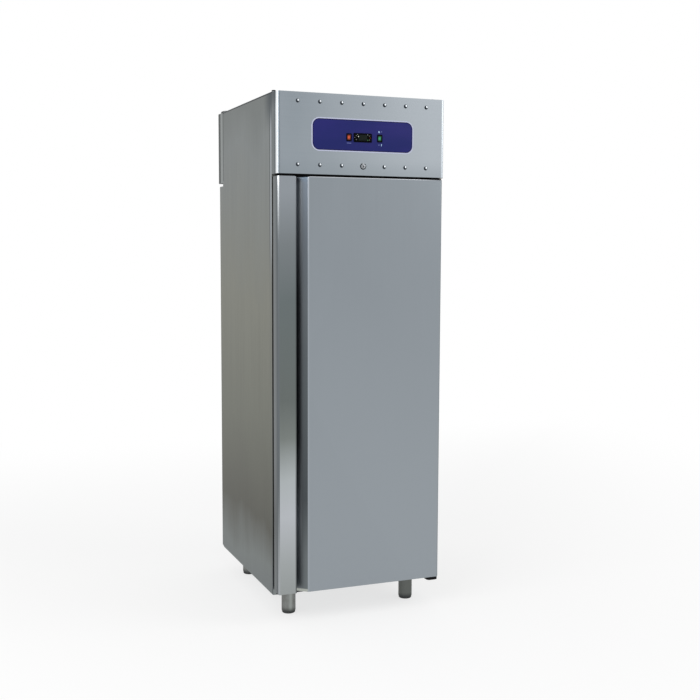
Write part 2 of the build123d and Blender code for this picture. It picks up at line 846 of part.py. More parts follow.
# Cover bolts: two through the front of the top cover, and two through the hood and the cover below it.
with BuildPart() as cover_bolts:
    for x in (-cover_bolt_x, cover_bolt_x):
        with Locations((x, cover_bolt_front_y, cover_top_z)):
            add(make_bolt(bolt_length))
        with Locations((x, cover_bolt_back_y, hood_top_z)):
            add(make_bolt(bolt_length + hood_height))

cover_bolts.part.label = "cover_bolts"
export_step(cover_bolts.part, "parts/cover_bolts.step")

# Legs: round steel tubes on square plates under the base panel, bored for the feet's stems.
leg_radius = 29.0
leg_side_inset = 90.0
leg_front_inset = 73.0
leg_back_inset = 134.0
leg_plate = 90.0
leg_plate_sheet = 2.5
leg_clearance = 10.0
stem_radius = 12.0
stem_sides = 8
stem_clearance = 0.4
stem_play = 4.0
bore_ceiling = 22.0
bore_top_z = body_bottom_z - bore_ceiling
stem_top_z = bore_top_z - stem_play
foot_radius = 27.5
foot_sides = 20
foot_sole = 1.5
foot_sole_taper = 45.0
leg_x = half_width - leg_side_inset
leg_ys = (cabinet_front_y + leg_front_inset, body_back_y - leg_back_inset)
leg_points = [(x, y) for y in leg_ys for x in (-leg_x, leg_x)]
with BuildPart() as legs:
    with BuildSketch(Plane.XY.offset(body_bottom_z - leg_plate_sheet)):
        with Locations(*leg_points):
            Rectangle(leg_plate, leg_plate)
    extrude(amount=leg_plate_sheet)
    with BuildSketch(Plane.XY.offset(leg_clearance)):
        with Locations(*leg_points):
            Circle(leg_radius)
    extrude(amount=body_bottom_z - leg_plate_sheet - leg_clearance)
    with BuildSketch(Plane.XY.offset(leg_clearance)):
        with Locations(*leg_points):
            RegularPolygon(stem_radius + stem_clearance, stem_sides)
    extrude(amount=bore_top_z - leg_clearance, mode=Mode.SUBTRACT)

legs.part.label = "legs"
export_step(legs.part, "parts/legs.step")

# Adjustable feet: a disc under each leg, drawn with flat sides, narrower at its sole, on a stem that
# screws in and out of the leg.
foot_names = ("foot_front_left", "foot_front_right", "foot_rear_left", "foot_rear_right")
for foot_name, (foot_x, foot_y) in zip(foot_names, leg_points):
    with BuildPart() as foot:
        with BuildSketch(Plane.XY.offset(foot_sole)):
            with Locations((foot_x, foot_y)):
                RegularPolygon(foot_radius, foot_sides)
        extrude(amount=-foot_sole, taper=foot_sole_taper)
        extrude(foot.faces().sort_by(Axis.Z)[-1], amount=leg_clearance - seat_gap - foot_sole)
        with BuildSketch(Plane.XY.offset(leg_clearance - seat_gap)):
            with Locations((foot_x, foot_y)):
                RegularPolygon(stem_radius, stem_sides)
        extrude(amount=stem_top_z - leg_clearance + seat_gap)
    foot.part.label = foot_name
    export_step(foot.part, f"parts/{foot_name}.step")

# Hinges: a bracket below the door and a flatter one above it, each with the pin that the door turns on.
hinge_inset = 26.0
hinge_pin_depth = 25.0
pin_radius = 6.0
pin_length = 22.0
bracket_half = 24.0
bracket_sheet = 6.0
bracket_reach = 8.0
bracket_corner = 12.0
bracket_flange = 4.0
bush_flange = 2.7
bush_radius = 9.0
bush_flange_radius = 13.0
bush_length = 26.0
top_bracket_sheet = 3.0
top_bush_flange = 1.2
pin_head_radius = 9.0
pin_head = 5.0
hinge_x = half_width - hinge_inset
hinge_y = door_front_y + hinge_pin_depth
bracket_front_y = door_front_y + bracket_reach
bottom_plate_top_z = door_bottom_z - bush_flange - seat_gap
top_plate_bottom_z = door_top_z + top_bush_flange + seat_gap
with BuildPart() as hinge_bottom:
    with BuildSketch(Plane.XY.offset(bottom_plate_top_z - bracket_sheet)) as bottom_plate:
        with Locations((hinge_x, bracket_front_y)):
            Rectangle(2 * bracket_half, cabinet_front_y - bracket_front_y, align=(Align.CENTER, Align.MIN))
        chamfer(bottom_plate.vertices().group_by(Axis.Y)[0], bracket_corner)
    extrude(amount=bracket_sheet)
    block(
        (hinge_x - bracket_half, hinge_x + bracket_half),
        (cabinet_front_y - bracket_flange, cabinet_front_y),
        (body_bottom_z, bottom_plate_top_z),
    )
    with Locations((hinge_x, hinge_y, bottom_plate_top_z)):
        Cylinder(pin_radius, pin_length, align=(Align.CENTER, Align.CENTER, Align.MIN))
    with BuildSketch(Plane.XY.offset(bottom_plate_top_z - bracket_sheet)):
        with Locations((hinge_x, hinge_y)):
            RegularPolygon(pin_head_radius, 6)
    extrude(amount=-pin_head)

hinge_bottom.part.label = "hinge_bottom"
export_step(hinge_bottom.part, "parts/hinge_bottom.step")

with BuildPart() as hinge_top:
    with BuildSketch(Plane.XY.offset(top_plate_bottom_z)) as top_plate:
        with Locations((hinge_x, bracket_front_y)):
            Rectangle(2 * bracket_half, cabinet_front_y - bracket_front_y, align=(Align.CENTER, Align.MIN))
        chamfer(top_plate.vertices().group_by(Axis.Y)[0], bracket_corner)
    extrude(amount=top_bracket_sheet)
    block(
        (hinge_x - bracket_half, hinge_x + bracket_half),
        (cabinet_front_y - bracket_flange, cabinet_front_y),
        (top_plate_bottom_z, bolt_row_low_z - rail_height / 2 - 1.0),
    )
    with Locations((hinge_x, hinge_y, top_plate_bottom_z)):
        Cylinder(pin_radius, pin_length, align=(Align.CENTER, Align.CENTER, Align.MAX))

hinge_top.part.label = "hinge_top"
export_step(hinge_top.part, "parts/hinge_top.step")

# Door: its outline in plan, with the handle bar, groove and slope, is shared by the skin and the foam.
door_left_x = -half_width + door_left_inset
door_right_x = half_width - door_right_inset
groove_y = door_front_y + groove_depth
bar_right_x = door_left_x + handle_width
groove_left_x = bar_right_x - handle_undercut
groove_right_x = groove_left_x + groove_floor
panel_left_x = groove_right_x + groove_slope
lock_slot_left = 38.0
lock_slot_right = 12.0
lock_slot_width = 10.0
lock_slot_depth = 12.0
lock_slot_y = cam_front_y + lock_cam_thickness / 2


def door_plan(margin):
    """The door's outline in plan, drawn in by a margin from the skin's outer face, open at the back."""
    with BuildSketch(Plane.XY) as plan:
        with BuildLine():
            Polyline(
                (door_left_x, door_back_y + 2 * margin),
                (door_left_x, door_front_y),
                (bar_right_x, door_front_y),
                (groove_left_x, groove_y),
                (groove_right_x, groove_y),
                (panel_left_x, door_front_y),
                (door_right_x, door_front_y),
                (door_right_x, door_back_y + 2 * margin),
                close=True,
            )
        make_face()
        corners = plan.vertices().filter_by(lambda v: v.Y < door_back_y - 1)
        fillet(corners.filter_by(lambda v: v.X < door_left_x + 1), door_corner_radius)
        edge_corners = corners.filter_by(lambda v: v.X > door_left_x + 1 and v.Y < door_front_y + 1)
        fillet(edge_corners, panel_edge_radius)
        fillet(corners.filter_by(lambda v: abs(v.Y - groove_y) < 1), groove_radius)
        if margin:
            offset(amount=-margin, mode=Mode.REPLACE)
    return plan.sketch


def lock_slot():
    """Cuts the slot in the door's top that the lock's cam swings into."""
    block(
        (-lock_slot_left, lock_slot_right),
        (lock_slot_y - lock_slot_width / 2, lock_slot_y + lock_slot_width / 2),
        (door_top_z - lock_slot_depth, door_top_z),
        mode=Mode.SUBTRACT,
    )


with BuildPart() as bush_seats:
    for start_z in (door_bottom_z, door_top_z - bush_length):
        with BuildSketch(Plane.XY.offset(start_z)):
            with Locations((hinge_x, hinge_y)):
                RegularPolygon(bush_radius, 6)
        extrude(amount=bush_length)

with BuildPart() as door_core:
    with BuildSketch(Plane.XY.offset(door_bottom_z + sheet)):
        add(door_plan(sheet))
    extrude(amount=door_top_z - door_bottom_z - 2 * sheet)
    block(
        (door_left_x, door_right_x),
        (door_back_y, door_back_y + 4 * sheet),
        (door_bottom_z, door_top_z),
        mode=Mode.SUBTRACT,
    )

with BuildPart() as door_skin:
    with BuildSketch(Plane.XY.offset(door_bottom_z)):
        add(door_plan(0))
    extrude(amount=door_top_z - door_bottom_z)
    add(door_core.part, mode=Mode.SUBTRACT)
    add(bush_seats.part, mode=Mode.SUBTRACT)
    lock_slot()

door_skin.part.label = "door_skin"
export_step(door_skin.part, "parts/door_skin.step")

# Door liner: a sheet in the back of the skin, pressed out into a raised panel that enters the opening.
dike_half = inner_half - dike_inset
dike_bottom_z = floor_z + dike_inset
dike_top_z = ceiling_z - dike_inset
with BuildPart() as dike_core:
    with BuildSketch(facing_front(door_back_y - sheet)):
        with Locations((0, (dike_bottom_z + dike_top_z) / 2)):
            Rectangle(2 * (dike_half - sheet), dike_top_z - dike_bottom_z - 2 * sheet)
    extrude(amount=-dike_height, taper=dike_taper)

with BuildPart() as door_liner:
    block(
        (door_left_x + sheet, door_right_x - sheet),
        (door_back_y - sheet, door_back_y),
        (door_bottom_z + sheet, door_top_z - sheet),
    )
    with BuildSketch(facing_front(door_back_y - sheet)):
        with Locations((0, (dike_bottom_z + dike_top_z) / 2)):
            Rectangle(2 * dike_half, dike_top_z - dike_bottom_z)
    extrude(amount=-dike_height - sheet, taper=dike_taper)
    add(dike_core.part, mode=Mode.SUBTRACT)

door_liner.part.label = "door_liner"
export_step(door_liner.part, "parts/door_liner.step")

# Door foam: fills the skin and the raised panel, with room for the bushes and the lock's cam.
with BuildPart() as door_foam:
    add(door_core.part)
    block(
        (door_left_x, door_right_x),
        (door_back_y - sheet, door_back_y + sheet),
        (door_bottom_z, door_top_z),
        mode=Mode.SUBTRACT,
    )
    add(dike_core.part)
    add(bush_seats.part, mode=Mode.SUBTRACT)
    lock_slot()

door_foam.part.label = "door_foam"
export_step(door_foam.part, "parts/door_foam.step")

# Door bushes: flanged plastic bushes, six-sided so as not to turn in the door's ends, bored for the pins.
with BuildPart() as door_bushes:
    add(bush_seats.part)
    for start_z, flange in ((door_bottom_z - bush_flange, bush_flange), (door_top_z, top_bush_flange)):
        with BuildSketch(Plane.XY.offset(start_z)):
            with Locations((hinge_x, hinge_y)):
                RegularPolygon(bush_flange_radius, 12)
        extrude(amount=flange)
    with Locations((hinge_x, hinge_y, (door_bottom_z + door_top_z) / 2)):
        Cylinder(
            pin_radius + pin_clearance, door_top_z - door_bottom_z + 4 * bush_flange, mode=Mode.SUBTRACT
        )

door_bushes.part.label = "door_bushes"
export_step(door_bushes.part, "parts/door_bushes.step")

# Gasket: a bellows strip with a magnet in its head, mitred at the corners of the door liner.
gasket_neck = 12.0
gasket_base = 3.0
gasket_head = 6.0
gasket_half = inner_half + gasket_overlap - gasket_width / 2
gasket_bottom_z = floor_z - gasket_overlap + gasket_width / 2
gasket_top_z = ceiling_z + gasket_overlap - gasket_width / 2
gasket_depth = gasket_gap - seat_gap
with BuildPart() as door_gasket:
    for start, end, width in (
        (0, gasket_base, gasket_width - 4.0),
        (gasket_base, gasket_depth - gasket_head, gasket_neck),
        (gasket_depth - gasket_head, gasket_depth, gasket_width),
    ):
        with BuildSketch(facing_front(door_back_y + end)):
            with Locations((0, (gasket_bottom_z + gasket_top_z) / 2)):
                Rectangle(2 * gasket_half + width, gasket_top_z - gasket_bottom_z + width)
                Rectangle(
                    2 * gasket_half - width, gasket_top_z - gasket_bottom_z - width, mode=Mode.SUBTRACT
                )
        extrude(amount=end - start)

door_gasket.part.label = "door_gasket"
export_step(door_gasket.part, "parts/door_gasket.step")

# Fans: creased sheet blades round a hub, built about +Z and then turned to blow along Y. The hub and the
# circle that the tips are cut to are drawn with flat sides.
blade_count = 4
blade_sheet = 1.6
blade_pitch_ratio = 0.55
blade_crease_ratio = 0.2
tip_sides = 40
hub_sides = 20
shaft_radius = 4.0
fan_bore_depth = 16.0


def make_fan(tip_radius, hub_radius, hub_height, chord):
    """A fan on its own axis: each blade is a pitched strip with one crease, cut round at its tip."""
    rise = blade_pitch_ratio * chord / 2
    crease = -blade_crease_ratio * chord
    with BuildPart() as blade:
        with BuildSketch(Plane.YZ.offset(hub_radius - 2 * blade_sheet)):
            with BuildLine():
                Polyline(
                    (-chord / 2, -rise),
                    (crease, 0),
                    (chord / 2, rise),
                    (chord / 2, rise + blade_sheet),
                    (crease, 2 * blade_sheet),
                    (-chord / 2, blade_sheet - rise),
                    close=True,
                )
            make_face()
        extrude(amount=tip_radius)
        with BuildSketch(Plane.XY.offset(-chord)):
            RegularPolygon(tip_radius, tip_sides)
        extrude(amount=2 * chord, mode=Mode.INTERSECT)
    with BuildPart() as fan:
        with BuildSketch(Plane.XY.offset(-hub_height / 2)):
            RegularPolygon(hub_radius, hub_sides)
        extrude(amount=hub_height)
        with PolarLocations(0, blade_count):
            add(blade.part)
        with Locations((0, 0, hub_height / 2)):
            Cylinder(
                shaft_radius + pin_clearance,
                fan_bore_depth,
                align=(Align.CENTER, Align.CENTER, Align.MAX),
                mode=Mode.SUBTRACT,
            )
    return fan.part


# Fan motors: a can with a stepped nose and a shaft, on a strap that is bent out at its foot.
motor_sides = 16
motor_nose = 8.0
motor_nose_radius = 16.0
shaft_length = 14.0
strap_width = 30.0
strap_sheet = 3.0
strap_foot = 24.0


def make_motor(x, y, z, radius, length, base_z, direction):
    """A motor whose shaft end is at y, pointing along direction (1 or -1) on the Y axis."""
    rear_y = y - direction * length
    with BuildPart() as motor:
        with BuildSketch(facing_front(y)):
            with Locations((x, z)):
                RegularPolygon(motor_nose_radius, motor_sides)
        extrude(amount=direction * motor_nose)
        with BuildSketch(facing_front(y - direction * motor_nose)):
            with Locations((x, z)):
                RegularPolygon(radius, motor_sides)
        extrude(amount=direction * (length - motor_nose))
        with BuildSketch(facing_front(y)):
            with Locations((x, z)):
                Circle(shaft_radius)
        extrude(amount=-direction * shaft_length)
        block(
            (x - strap_width / 2, x + strap_width / 2),
            (rear_y, rear_y - direction * strap_sheet),
            (base_z, z),
        )
        block(
            (x - strap_width / 2, x + strap_width / 2),
            (rear_y, rear_y - direction * strap_foot),
            (base_z, base_z + strap_sheet),
        )
    return motor.part


# Refrigeration unit: a base tray on the compartment's floor, turned up along its front and back.
unit_side_gap = 29.0
unit_half_width = shell_half - unit_side_gap
unit_front_inset = 30.0
unit_back_inset = 35.0
tray_edge = 14.0
unit_front_y = cabinet_front_y + unit_front_inset
unit_back_y = upper_back_y - unit_back_inset
tray_top_z = body_top_z + tray_sheet
with BuildPart() as unit_base:
    block((-unit_half_width, unit_half_width), (unit_front_y, unit_back_y), (body_top_z, tray_top_z))
    for y in (unit_front_y, unit_back_y - tray_sheet):
        block(
            (-unit_half_width, unit_half_width),
            (y, y + tray_sheet),
            (body_top_z, body_top_z + tray_edge),
        )
    pipe_opening(body_top_z, 2 * tray_sheet)

unit_base.part.label = "unit_base"
export_step(unit_base.part, "parts/unit_base.step")

# Compressor: a welded steel shell, drawn with flat sides, with a seam at its waist and a foot plate.
compressor_side_inset = 135.0
compressor_x = unit_half_width - compressor_side_inset
compressor_inset = 190.0
compressor_radius = 86.0
compressor_sides = 24
compressor_lower = 92.0
compressor_upper = 70.0
compressor_dome = 32.0
compressor_dome_taper = 45.0
seam_width = 4.0
seam_height = 8.0
foot_plate_sheet = 3.0
foot_plate_size = 200.0
mount_height = 18.0
mount_radius = 14.0
mount_spacing = 166.0
compressor_y = cabinet_front_y + compressor_inset
plate_z = tray_top_z + mount_height
shell_z = plate_z + foot_plate_sheet
compressor_top_z = shell_z + compressor_lower + seam_height + compressor_upper + compressor_dome
compressor_centre = Location((compressor_x, compressor_y))
with BuildPart() as compressor:
    with BuildSketch(Plane.XY.offset(plate_z)) as foot_plate:
        with Locations(compressor_centre):
            Rectangle(foot_plate_size, foot_plate_size)
        chamfer(foot_plate.vertices(), mount_radius)
    extrude(amount=foot_plate_sheet)
    level = shell_z
    for radius, height, taper in (
        (compressor_radius, compressor_lower, 0),
        (compressor_radius + seam_width, seam_height, 0),
        (compressor_radius, compressor_upper, 0),
        (compressor_radius, compressor_dome, compressor_dome_taper),
    ):
        with BuildSketch(Plane.XY.offset(level)):
            with Locations(compressor_centre):
                RegularPolygon(radius, compressor_sides)
        extrude(amount=height, taper=taper)
        level += height

compressor.part.label = "compressor"
export_step(compressor.part, "parts/compressor.step")

with BuildPart() as compressor_mounts:
    with BuildSketch(Plane.XY.offset(tray_top_z)):
        with Locations(compressor_centre):
            with GridLocations(mount_spacing, mount_spacing, 2, 2):
                RegularPolygon(mount_radius, 8)
    extrude(amount=mount_height)

compressor_mounts.part.label = "compressor_mounts"
export_step(compressor_mounts.part, "parts/compressor_mounts.step")

# Coils: upright fins across a core of tubes, between two end plates that reach down as feet.
fin_pitch = 38.0
fin_sheet = 2.0
coil_core = 12.0
end_plate = 3.0


def make_coil(centre_x, front_y, base_z, width, depth, height, foot):
    """A finned block that stands on its end plates, clear of what is under it by the height of a foot."""
    fins = int((width - 2 * end_plate) / fin_pitch)
    with BuildPart() as coil:
        with BuildSketch(Plane.XY.offset(base_z + foot)):
            with Locations((centre_x, front_y + depth / 2)):
                Rectangle(width - end_plate, coil_core)
                with GridLocations(fin_pitch, 0, fins, 1):
                    Rectangle(fin_sheet, depth)
        extrude(amount=height)
        with BuildSketch(Plane.XY.offset(base_z)):
            with Locations((centre_x, front_y + depth / 2)):
                with GridLocations(width - end_plate, 0, 2, 1):
                    Rectangle(end_plate, depth)
        extrude(amount=height + foot)
    return coil.part


# Condenser: the coil at the compartment's back, and the shroud, motor and fan in front of it.
condenser_side_gap = 55.0
condenser_width = 320.0
condenser_height = 250.0
condenser_depth = 66.0
condenser_inset = 150.0
condenser_foot = 12.0
shroud_depth = 30.0
shroud_sheet = 1.5
shroud_clearance = 6.0
shroud_sides = 32
condenser_fan_radius = 105.0
condenser_hub_radius = 26.0
condenser_hub_height = 24.0
condenser_blade_chord = 56.0
condenser_motor_radius = 38.0
condenser_motor_length = 52.0
shaft_gap = 3.0
condenser_x = condenser_side_gap + condenser_width / 2 - unit_half_width
condenser_front_y = unit_back_y - condenser_inset
condenser_top_z = tray_top_z + condenser_foot + condenser_height
condenser_fan_z = tray_top_z + condenser_foot + condenser_height / 2
condenser_right_x = condenser_x + condenser_width / 2
condenser_coil = make_coil(
    condenser_x,
    condenser_front_y,
    tray_top_z,
    condenser_width,
    condenser_depth,
    condenser_height,
    condenser_foot,
)
condenser_coil.label = "condenser_coil"
export_step(condenser_coil, "parts/condenser_coil.step")

shroud_front_y = condenser_front_y - shroud_depth
with BuildPart() as condenser_shroud:
    block(
        (condenser_x - condenser_width / 2 - shroud_sheet, condenser_right_x + shroud_sheet),
        (shroud_front_y, condenser_front_y + condenser_depth),
        (tray_top_z, condenser_top_z),
    )
    block(
        (condenser_x - condenser_width / 2, condenser_right_x),
        (shroud_front_y + shroud_sheet, condenser_front_y + condenser_depth),
        (tray_top_z, condenser_top_z),
        mode=Mode.SUBTRACT,
    )
    with BuildSketch(facing_front(shroud_front_y)):
        with Locations((condenser_x, condenser_fan_z)):
            RegularPolygon(condenser_fan_radius + shroud_clearance, shroud_sides)
    extrude(amount=-2 * shroud_sheet, mode=Mode.SUBTRACT)

condenser_shroud.part.label = "condenser_shroud"
export_step(condenser_shroud.part, "parts/condenser_shroud.step")

condenser_hub_front_y = shroud_front_y - condenser_hub_height / 2
condenser_fan = make_fan(
    condenser_fan_radius, condenser_hub_radius, condenser_hub_height, condenser_blade_chord
)
condenser_fan = condenser_fan.rotate(Axis.X, 90)
condenser_fan = condenser_fan.translate((condenser_x, shroud_front_y, condenser_fan_z))
condenser_fan.label = "condenser_fan"
export_step(condenser_fan, "parts/condenser_fan.step")

condenser_fan_motor = make_motor(
    condenser_x,
    condenser_hub_front_y - shaft_gap,
    condenser_fan_z,
    condenser_motor_radius,
    condenser_motor_length,
    tray_top_z,
    1,
)
condenser_fan_motor.label = "condenser_fan_motor"
export_step(condenser_fan_motor, "parts/condenser_fan_motor.step")

# Electrical box: a folded steel case at the front of the tray, with a cable gland in its side.
box_side_gap = 10.0
box_left_x = box_side_gap - unit_half_width
box_width = 150.0
box_depth = 80.0
box_height = 140.0
gland_radius = 9.0
gland_length = 12.0
box_front_y = unit_front_y + 20.0
with BuildPart() as electrical_box:
    block(
        (box_left_x, box_left_x + box_width),
        (box_front_y, box_front_y + box_depth),
        (tray_top_z, tray_top_z + box_height),
    )
    chamfer(electrical_box.faces().sort_by(Axis.Z)[-1].edges(), 4 * sheet)
    with BuildSketch(Plane.YZ.offset(box_left_x + box_width)):
        with Locations((box_front_y + box_depth / 2, tray_top_z + box_height / 4)):
            RegularPolygon(gland_radius, 6)
    extrude(amount=gland_length)

electrical_box.part.label = "electrical_box"
export_step(electrical_box.part, "parts/electrical_box.step")

# Filter drier: a tube with necked ends, upright beside the condenser.
drier_radius = 10.0
drier_length = 90.0
drier_neck = 12.0
drier_taper = 30.0
drier_gap = 28.0
drier_x = condenser_right_x + shroud_sheet + drier_gap
drier_y = condenser_front_y + condenser_depth / 2
drier_bottom_z = tray_top_z + 90.0
drier_mid_z = drier_bottom_z + drier_length / 2
with BuildPart() as filter_drier:
    with BuildSketch(Plane.XY.offset(drier_mid_z)):
        with Locations((drier_x, drier_y)):
            RegularPolygon(drier_radius, 8)
    extrude(amount=drier_length / 2 - drier_neck)
    extrude(filter_drier.faces().sort_by(Axis.Z)[-1], amount=drier_neck, taper=drier_taper)
    mirror(about=Plane.XY.offset(drier_mid_z))

filter_drier.part.label = "filter_drier"
export_step(filter_drier.part, "parts/filter_drier.step")

# Evaporator housing: a sheet box under the cabinet's ceiling, open to the back, with the fan's grille
# of upright slots at its front. Its floor opens into the air duct.
housing_side_gap = 23.0
housing_set_back = 181.0
housing_height = 190.0
housing_sheet = 1.5
duct_side_gap = 40.0
duct_sheet = 1.2
grille_radius = 72.0
grille_slot = 8.0
grille_pitch = 18.0
grille_slots = 7
drain_bore = 6.0
housing_half = inner_half - housing_side_gap
duct_half = inner_half - duct_side_gap
housing_front_y = cabinet_front_y + housing_set_back
housing_bottom_z = ceiling_z - housing_height
housing_floor_z = housing_bottom_z + housing_sheet
evaporator_fan_z = housing_floor_z + housing_height / 2
duct_front_y = inner_back_y - duct_depth
with BuildPart() as evaporator_housing:
    block((-housing_half, housing_half), (housing_front_y, inner_back_y), (housing_bottom_z, ceiling_z))
    block(
        (-housing_half + housing_sheet, housing_half - housing_sheet),
        (housing_front_y + housing_sheet, inner_back_y),
        (housing_floor_z, ceiling_z),
        mode=Mode.SUBTRACT,
    )
    block(
        (-duct_half + duct_sheet, duct_half - duct_sheet),
        (duct_front_y + duct_sheet, inner_back_y),
        (housing_bottom_z, housing_floor_z),
        mode=Mode.SUBTRACT,
    )
    with BuildSketch(facing_front(housing_front_y)):
        for i in range(grille_slots):
            slot_x = grille_pitch * (i - (grille_slots - 1) / 2)
            with Locations((slot_x, evaporator_fan_z)):
                Rectangle(grille_slot, 2 * sqrt(grille_radius**2 - slot_x**2))
    extrude(amount=-2 * housing_sheet, mode=Mode.SUBTRACT)
    with BuildSketch(Plane.XY.offset(housing_bottom_z)):
        with Locations((drain_x, drain_y)):
            RegularPolygon(drain_bore, 6)
    extrude(amount=housing_sheet, mode=Mode.SUBTRACT)

evaporator_housing.part.label = "evaporator_housing"
export_step(evaporator_housing.part, "parts/evaporator_housing.step")

# Evaporator: a finned coil that stands on the housing's floor, with the defrost heater's loop under it.
evaporator_side_gap = 32.0
evaporator_depth = 110.0
evaporator_height = 130.0
evaporator_foot = 22.0
evaporator_inset = 205.0
heater_radius = 4.0
heater_rise = 11.0
heater_spread = 55.0
heater_end_gap = 25.0
evaporator_half = housing_half - evaporator_side_gap
evaporator_back_y = inner_back_y - evaporator_inset
evaporator_front_y = evaporator_back_y - evaporator_depth
evaporator_mid_y = evaporator_back_y - evaporator_depth / 2
evaporator_top_z = housing_floor_z + evaporator_foot + evaporator_height
evaporator_coil = make_coil(
    0,
    evaporator_front_y,
    housing_floor_z,
    2 * evaporator_half,
    evaporator_depth,
    evaporator_height,
    evaporator_foot,
)
evaporator_coil.label = "evaporator_coil"
export_step(evaporator_coil, "parts/evaporator_coil.step")


def make_tube(route, radius, sides, bend):
    """A solid tube along a route. Each bend is drawn as two mitres, this far off its corner."""
    points = [Vector(*route[0])]
    for before, corner, after in zip(route, route[1:], route[2:]):
        corner = Vector(*corner)
        points.append(corner + (Vector(*before) - corner).normalized() * bend)
        points.append(corner + (Vector(*after) - corner).normalized() * bend)
    points.append(Vector(*route[-1]))
    with BuildPart() as tube:
        with BuildLine() as path:
            Polyline(*points)
        with BuildSketch(Plane(origin=path.line @ 0, z_dir=path.line % 0)):
            RegularPolygon(radius, sides)
        sweep(transition=Transition.RIGHT)
    return tube.part


heater_z = housing_floor_z + heater_rise
heater_left_x = -evaporator_half + end_plate
heater_right_x = evaporator_half - end_plate - heater_end_gap
defrost_heater = make_tube(
    (
        (heater_left_x, evaporator_mid_y - heater_spread / 2, heater_z),
        (heater_right_x, evaporator_mid_y - heater_spread / 2, heater_z),
        (heater_right_x, evaporator_mid_y + heater_spread / 2, heater_z),
        (heater_left_x, evaporator_mid_y + heater_spread / 2, heater_z),
    ),
    heater_radius,
    8,
    3 * heater_radius,
)
defrost_heater.label = "defrost_heater"
export_step(defrost_heater, "parts/defrost_heater.step")

# Evaporator fan and motor, just behind the grille
evaporator_fan_radius = 74.0
evaporator_hub_radius = 22.0
evaporator_hub_height = 22.0
evaporator_blade_chord = 42.0
evaporator_motor_radius = 34.0
evaporator_motor_length = 46.0
grille_gap = 26.0
evaporator_fan_y = housing_front_y + housing_sheet + grille_gap
evaporator_fan = make_fan(
    evaporator_fan_radius, evaporator_hub_radius, evaporator_hub_height, evaporator_blade_chord
)
evaporator_fan = evaporator_fan.rotate(Axis.X, -90)
evaporator_fan = evaporator_fan.translate((0, evaporator_fan_y, evaporator_fan_z))
evaporator_fan.label = "evaporator_fan"
export_step(evaporator_fan, "parts/evaporator_fan.step")

evaporator_fan_motor = make_motor(
    0,
    evaporator_fan_y + evaporator_hub_height / 2 + shaft_gap,
    evaporator_fan_z,
    evaporator_motor_radius,
    evaporator_motor_length,
    housing_floor_z,
    -1,
)
evaporator_fan_motor.label = "evaporator_fan_motor"
export_step(evaporator_fan_motor, "parts/evaporator_fan_motor.step")

# Air duct: a channel down the back wall from the housing, with outlet slots between the shelves.
duct_bottom_z = 200.0
duct_slot_width = 110.0
duct_slot_height = 10.0
duct_slot_rows = 4
duct_slot_pitch = 300.0
duct_slot_spacing = 220.0
with BuildPart() as air_duct:
    block((-duct_half, duct_half), (duct_front_y, inner_back_y), (duct_bottom_z, housing_bottom_z))
    block(
        (-duct_half + duct_sheet, duct_half - duct_sheet),
        (duct_front_y + duct_sheet, inner_back_y),
        (duct_bottom_z + duct_sheet, housing_bottom_z),
        mode=Mode.SUBTRACT,
    )
    with BuildSketch(facing_front(duct_front_y)):
        with Locations((0, (duct_bottom_z + housing_bottom_z) / 2)):
            with GridLocations(duct_slot_spacing, duct_slot_pitch, 2, duct_slot_rows):
                Rectangle(duct_slot_width, duct_slot_height)
    extrude(amount=-2 * duct_sheet, mode=Mode.SUBTRACT)

air_duct.part.label = "air_duct"
export_step(air_duct.part, "parts/air_duct.step")

# Drain pipe: from under the housing's floor, down the back wall and out through the cabinet's floor.
with BuildPart() as drain_pipe:
    with BuildSketch(Plane.XY.offset(body_bottom_z - drain_outlet)):
        with Locations((drain_x, drain_y)):
            RegularPolygon(drain_radius, drain_sides)
            RegularPolygon(drain_bore, 6, mode=Mode.SUBTRACT)
    extrude(amount=housing_bottom_z - body_bottom_z + drain_outlet)

drain_pipe.part.label = "drain_pipe"
export_step(drain_pipe.part, "parts/drain_pipe.step")

# Refrigerant pipes: discharge and suction lines, the liquid line to the drier, and the thin capillary.
pipe_radius = 5.0
capillary_radius = 2.0
pipe_bend = 14.0
pipe_spread = 25.0
pipe_rise = 32.0
discharge_z = condenser_top_z - 14.0
suction_z = compressor_top_z + pipe_rise
liquid_z = tray_top_z + 40.0
capillary_z = drier_bottom_z + drier_length + 40.0
suction_x = evaporator_half - end_plate / 2
capillary_x = 2 * pipe_hole_x - suction_x
suction_low_z = housing_floor_z + evaporator_height / 2
refrigerant_pipes = [
    make_tube(
        (
            (compressor_x - pipe_spread, compressor_y, compressor_top_z),
            (compressor_x - pipe_spread, compressor_y, discharge_z),
            (compressor_x - pipe_spread, drier_y, discharge_z),
            (condenser_right_x + shroud_sheet, drier_y, discharge_z),
        ),
        pipe_radius,
        6,
        pipe_bend,
    ),
    make_tube(
        (
            (condenser_right_x + shroud_sheet, drier_y, liquid_z),
            (drier_x, drier_y, liquid_z),
            (drier_x, drier_y, drier_bottom_z),
        ),
        pipe_radius - 1.0,
        6,
        pipe_bend,
    ),
    make_tube(
        (
            (drier_x, drier_y, drier_bottom_z + drier_length),
            (drier_x, drier_y, capillary_z),
            (capillary_x, pipe_hole_y, capillary_z),
            (capillary_x, pipe_hole_y, evaporator_top_z - pipe_bend),
            (capillary_x, evaporator_back_y, evaporator_top_z - pipe_bend),
        ),
        capillary_radius,
        4,
        pipe_bend,
    ),
    make_tube(
        (
            (suction_x, evaporator_back_y, suction_low_z),
            (suction_x, pipe_hole_y, suction_low_z),
            (suction_x, pipe_hole_y, suction_z),
            (compressor_x + pipe_spread, compressor_y, suction_z),
            (compressor_x + pipe_spread, compressor_y, compressor_top_z),
        ),
        pipe_radius,
        6,
        pipe_bend,
    ),
]
refrigerant_pipes = Compound(children=refrigerant_pipes, label="refrigerant_pipes")
export_step(refrigerant_pipes, "parts/refrigerant_pipes.step")
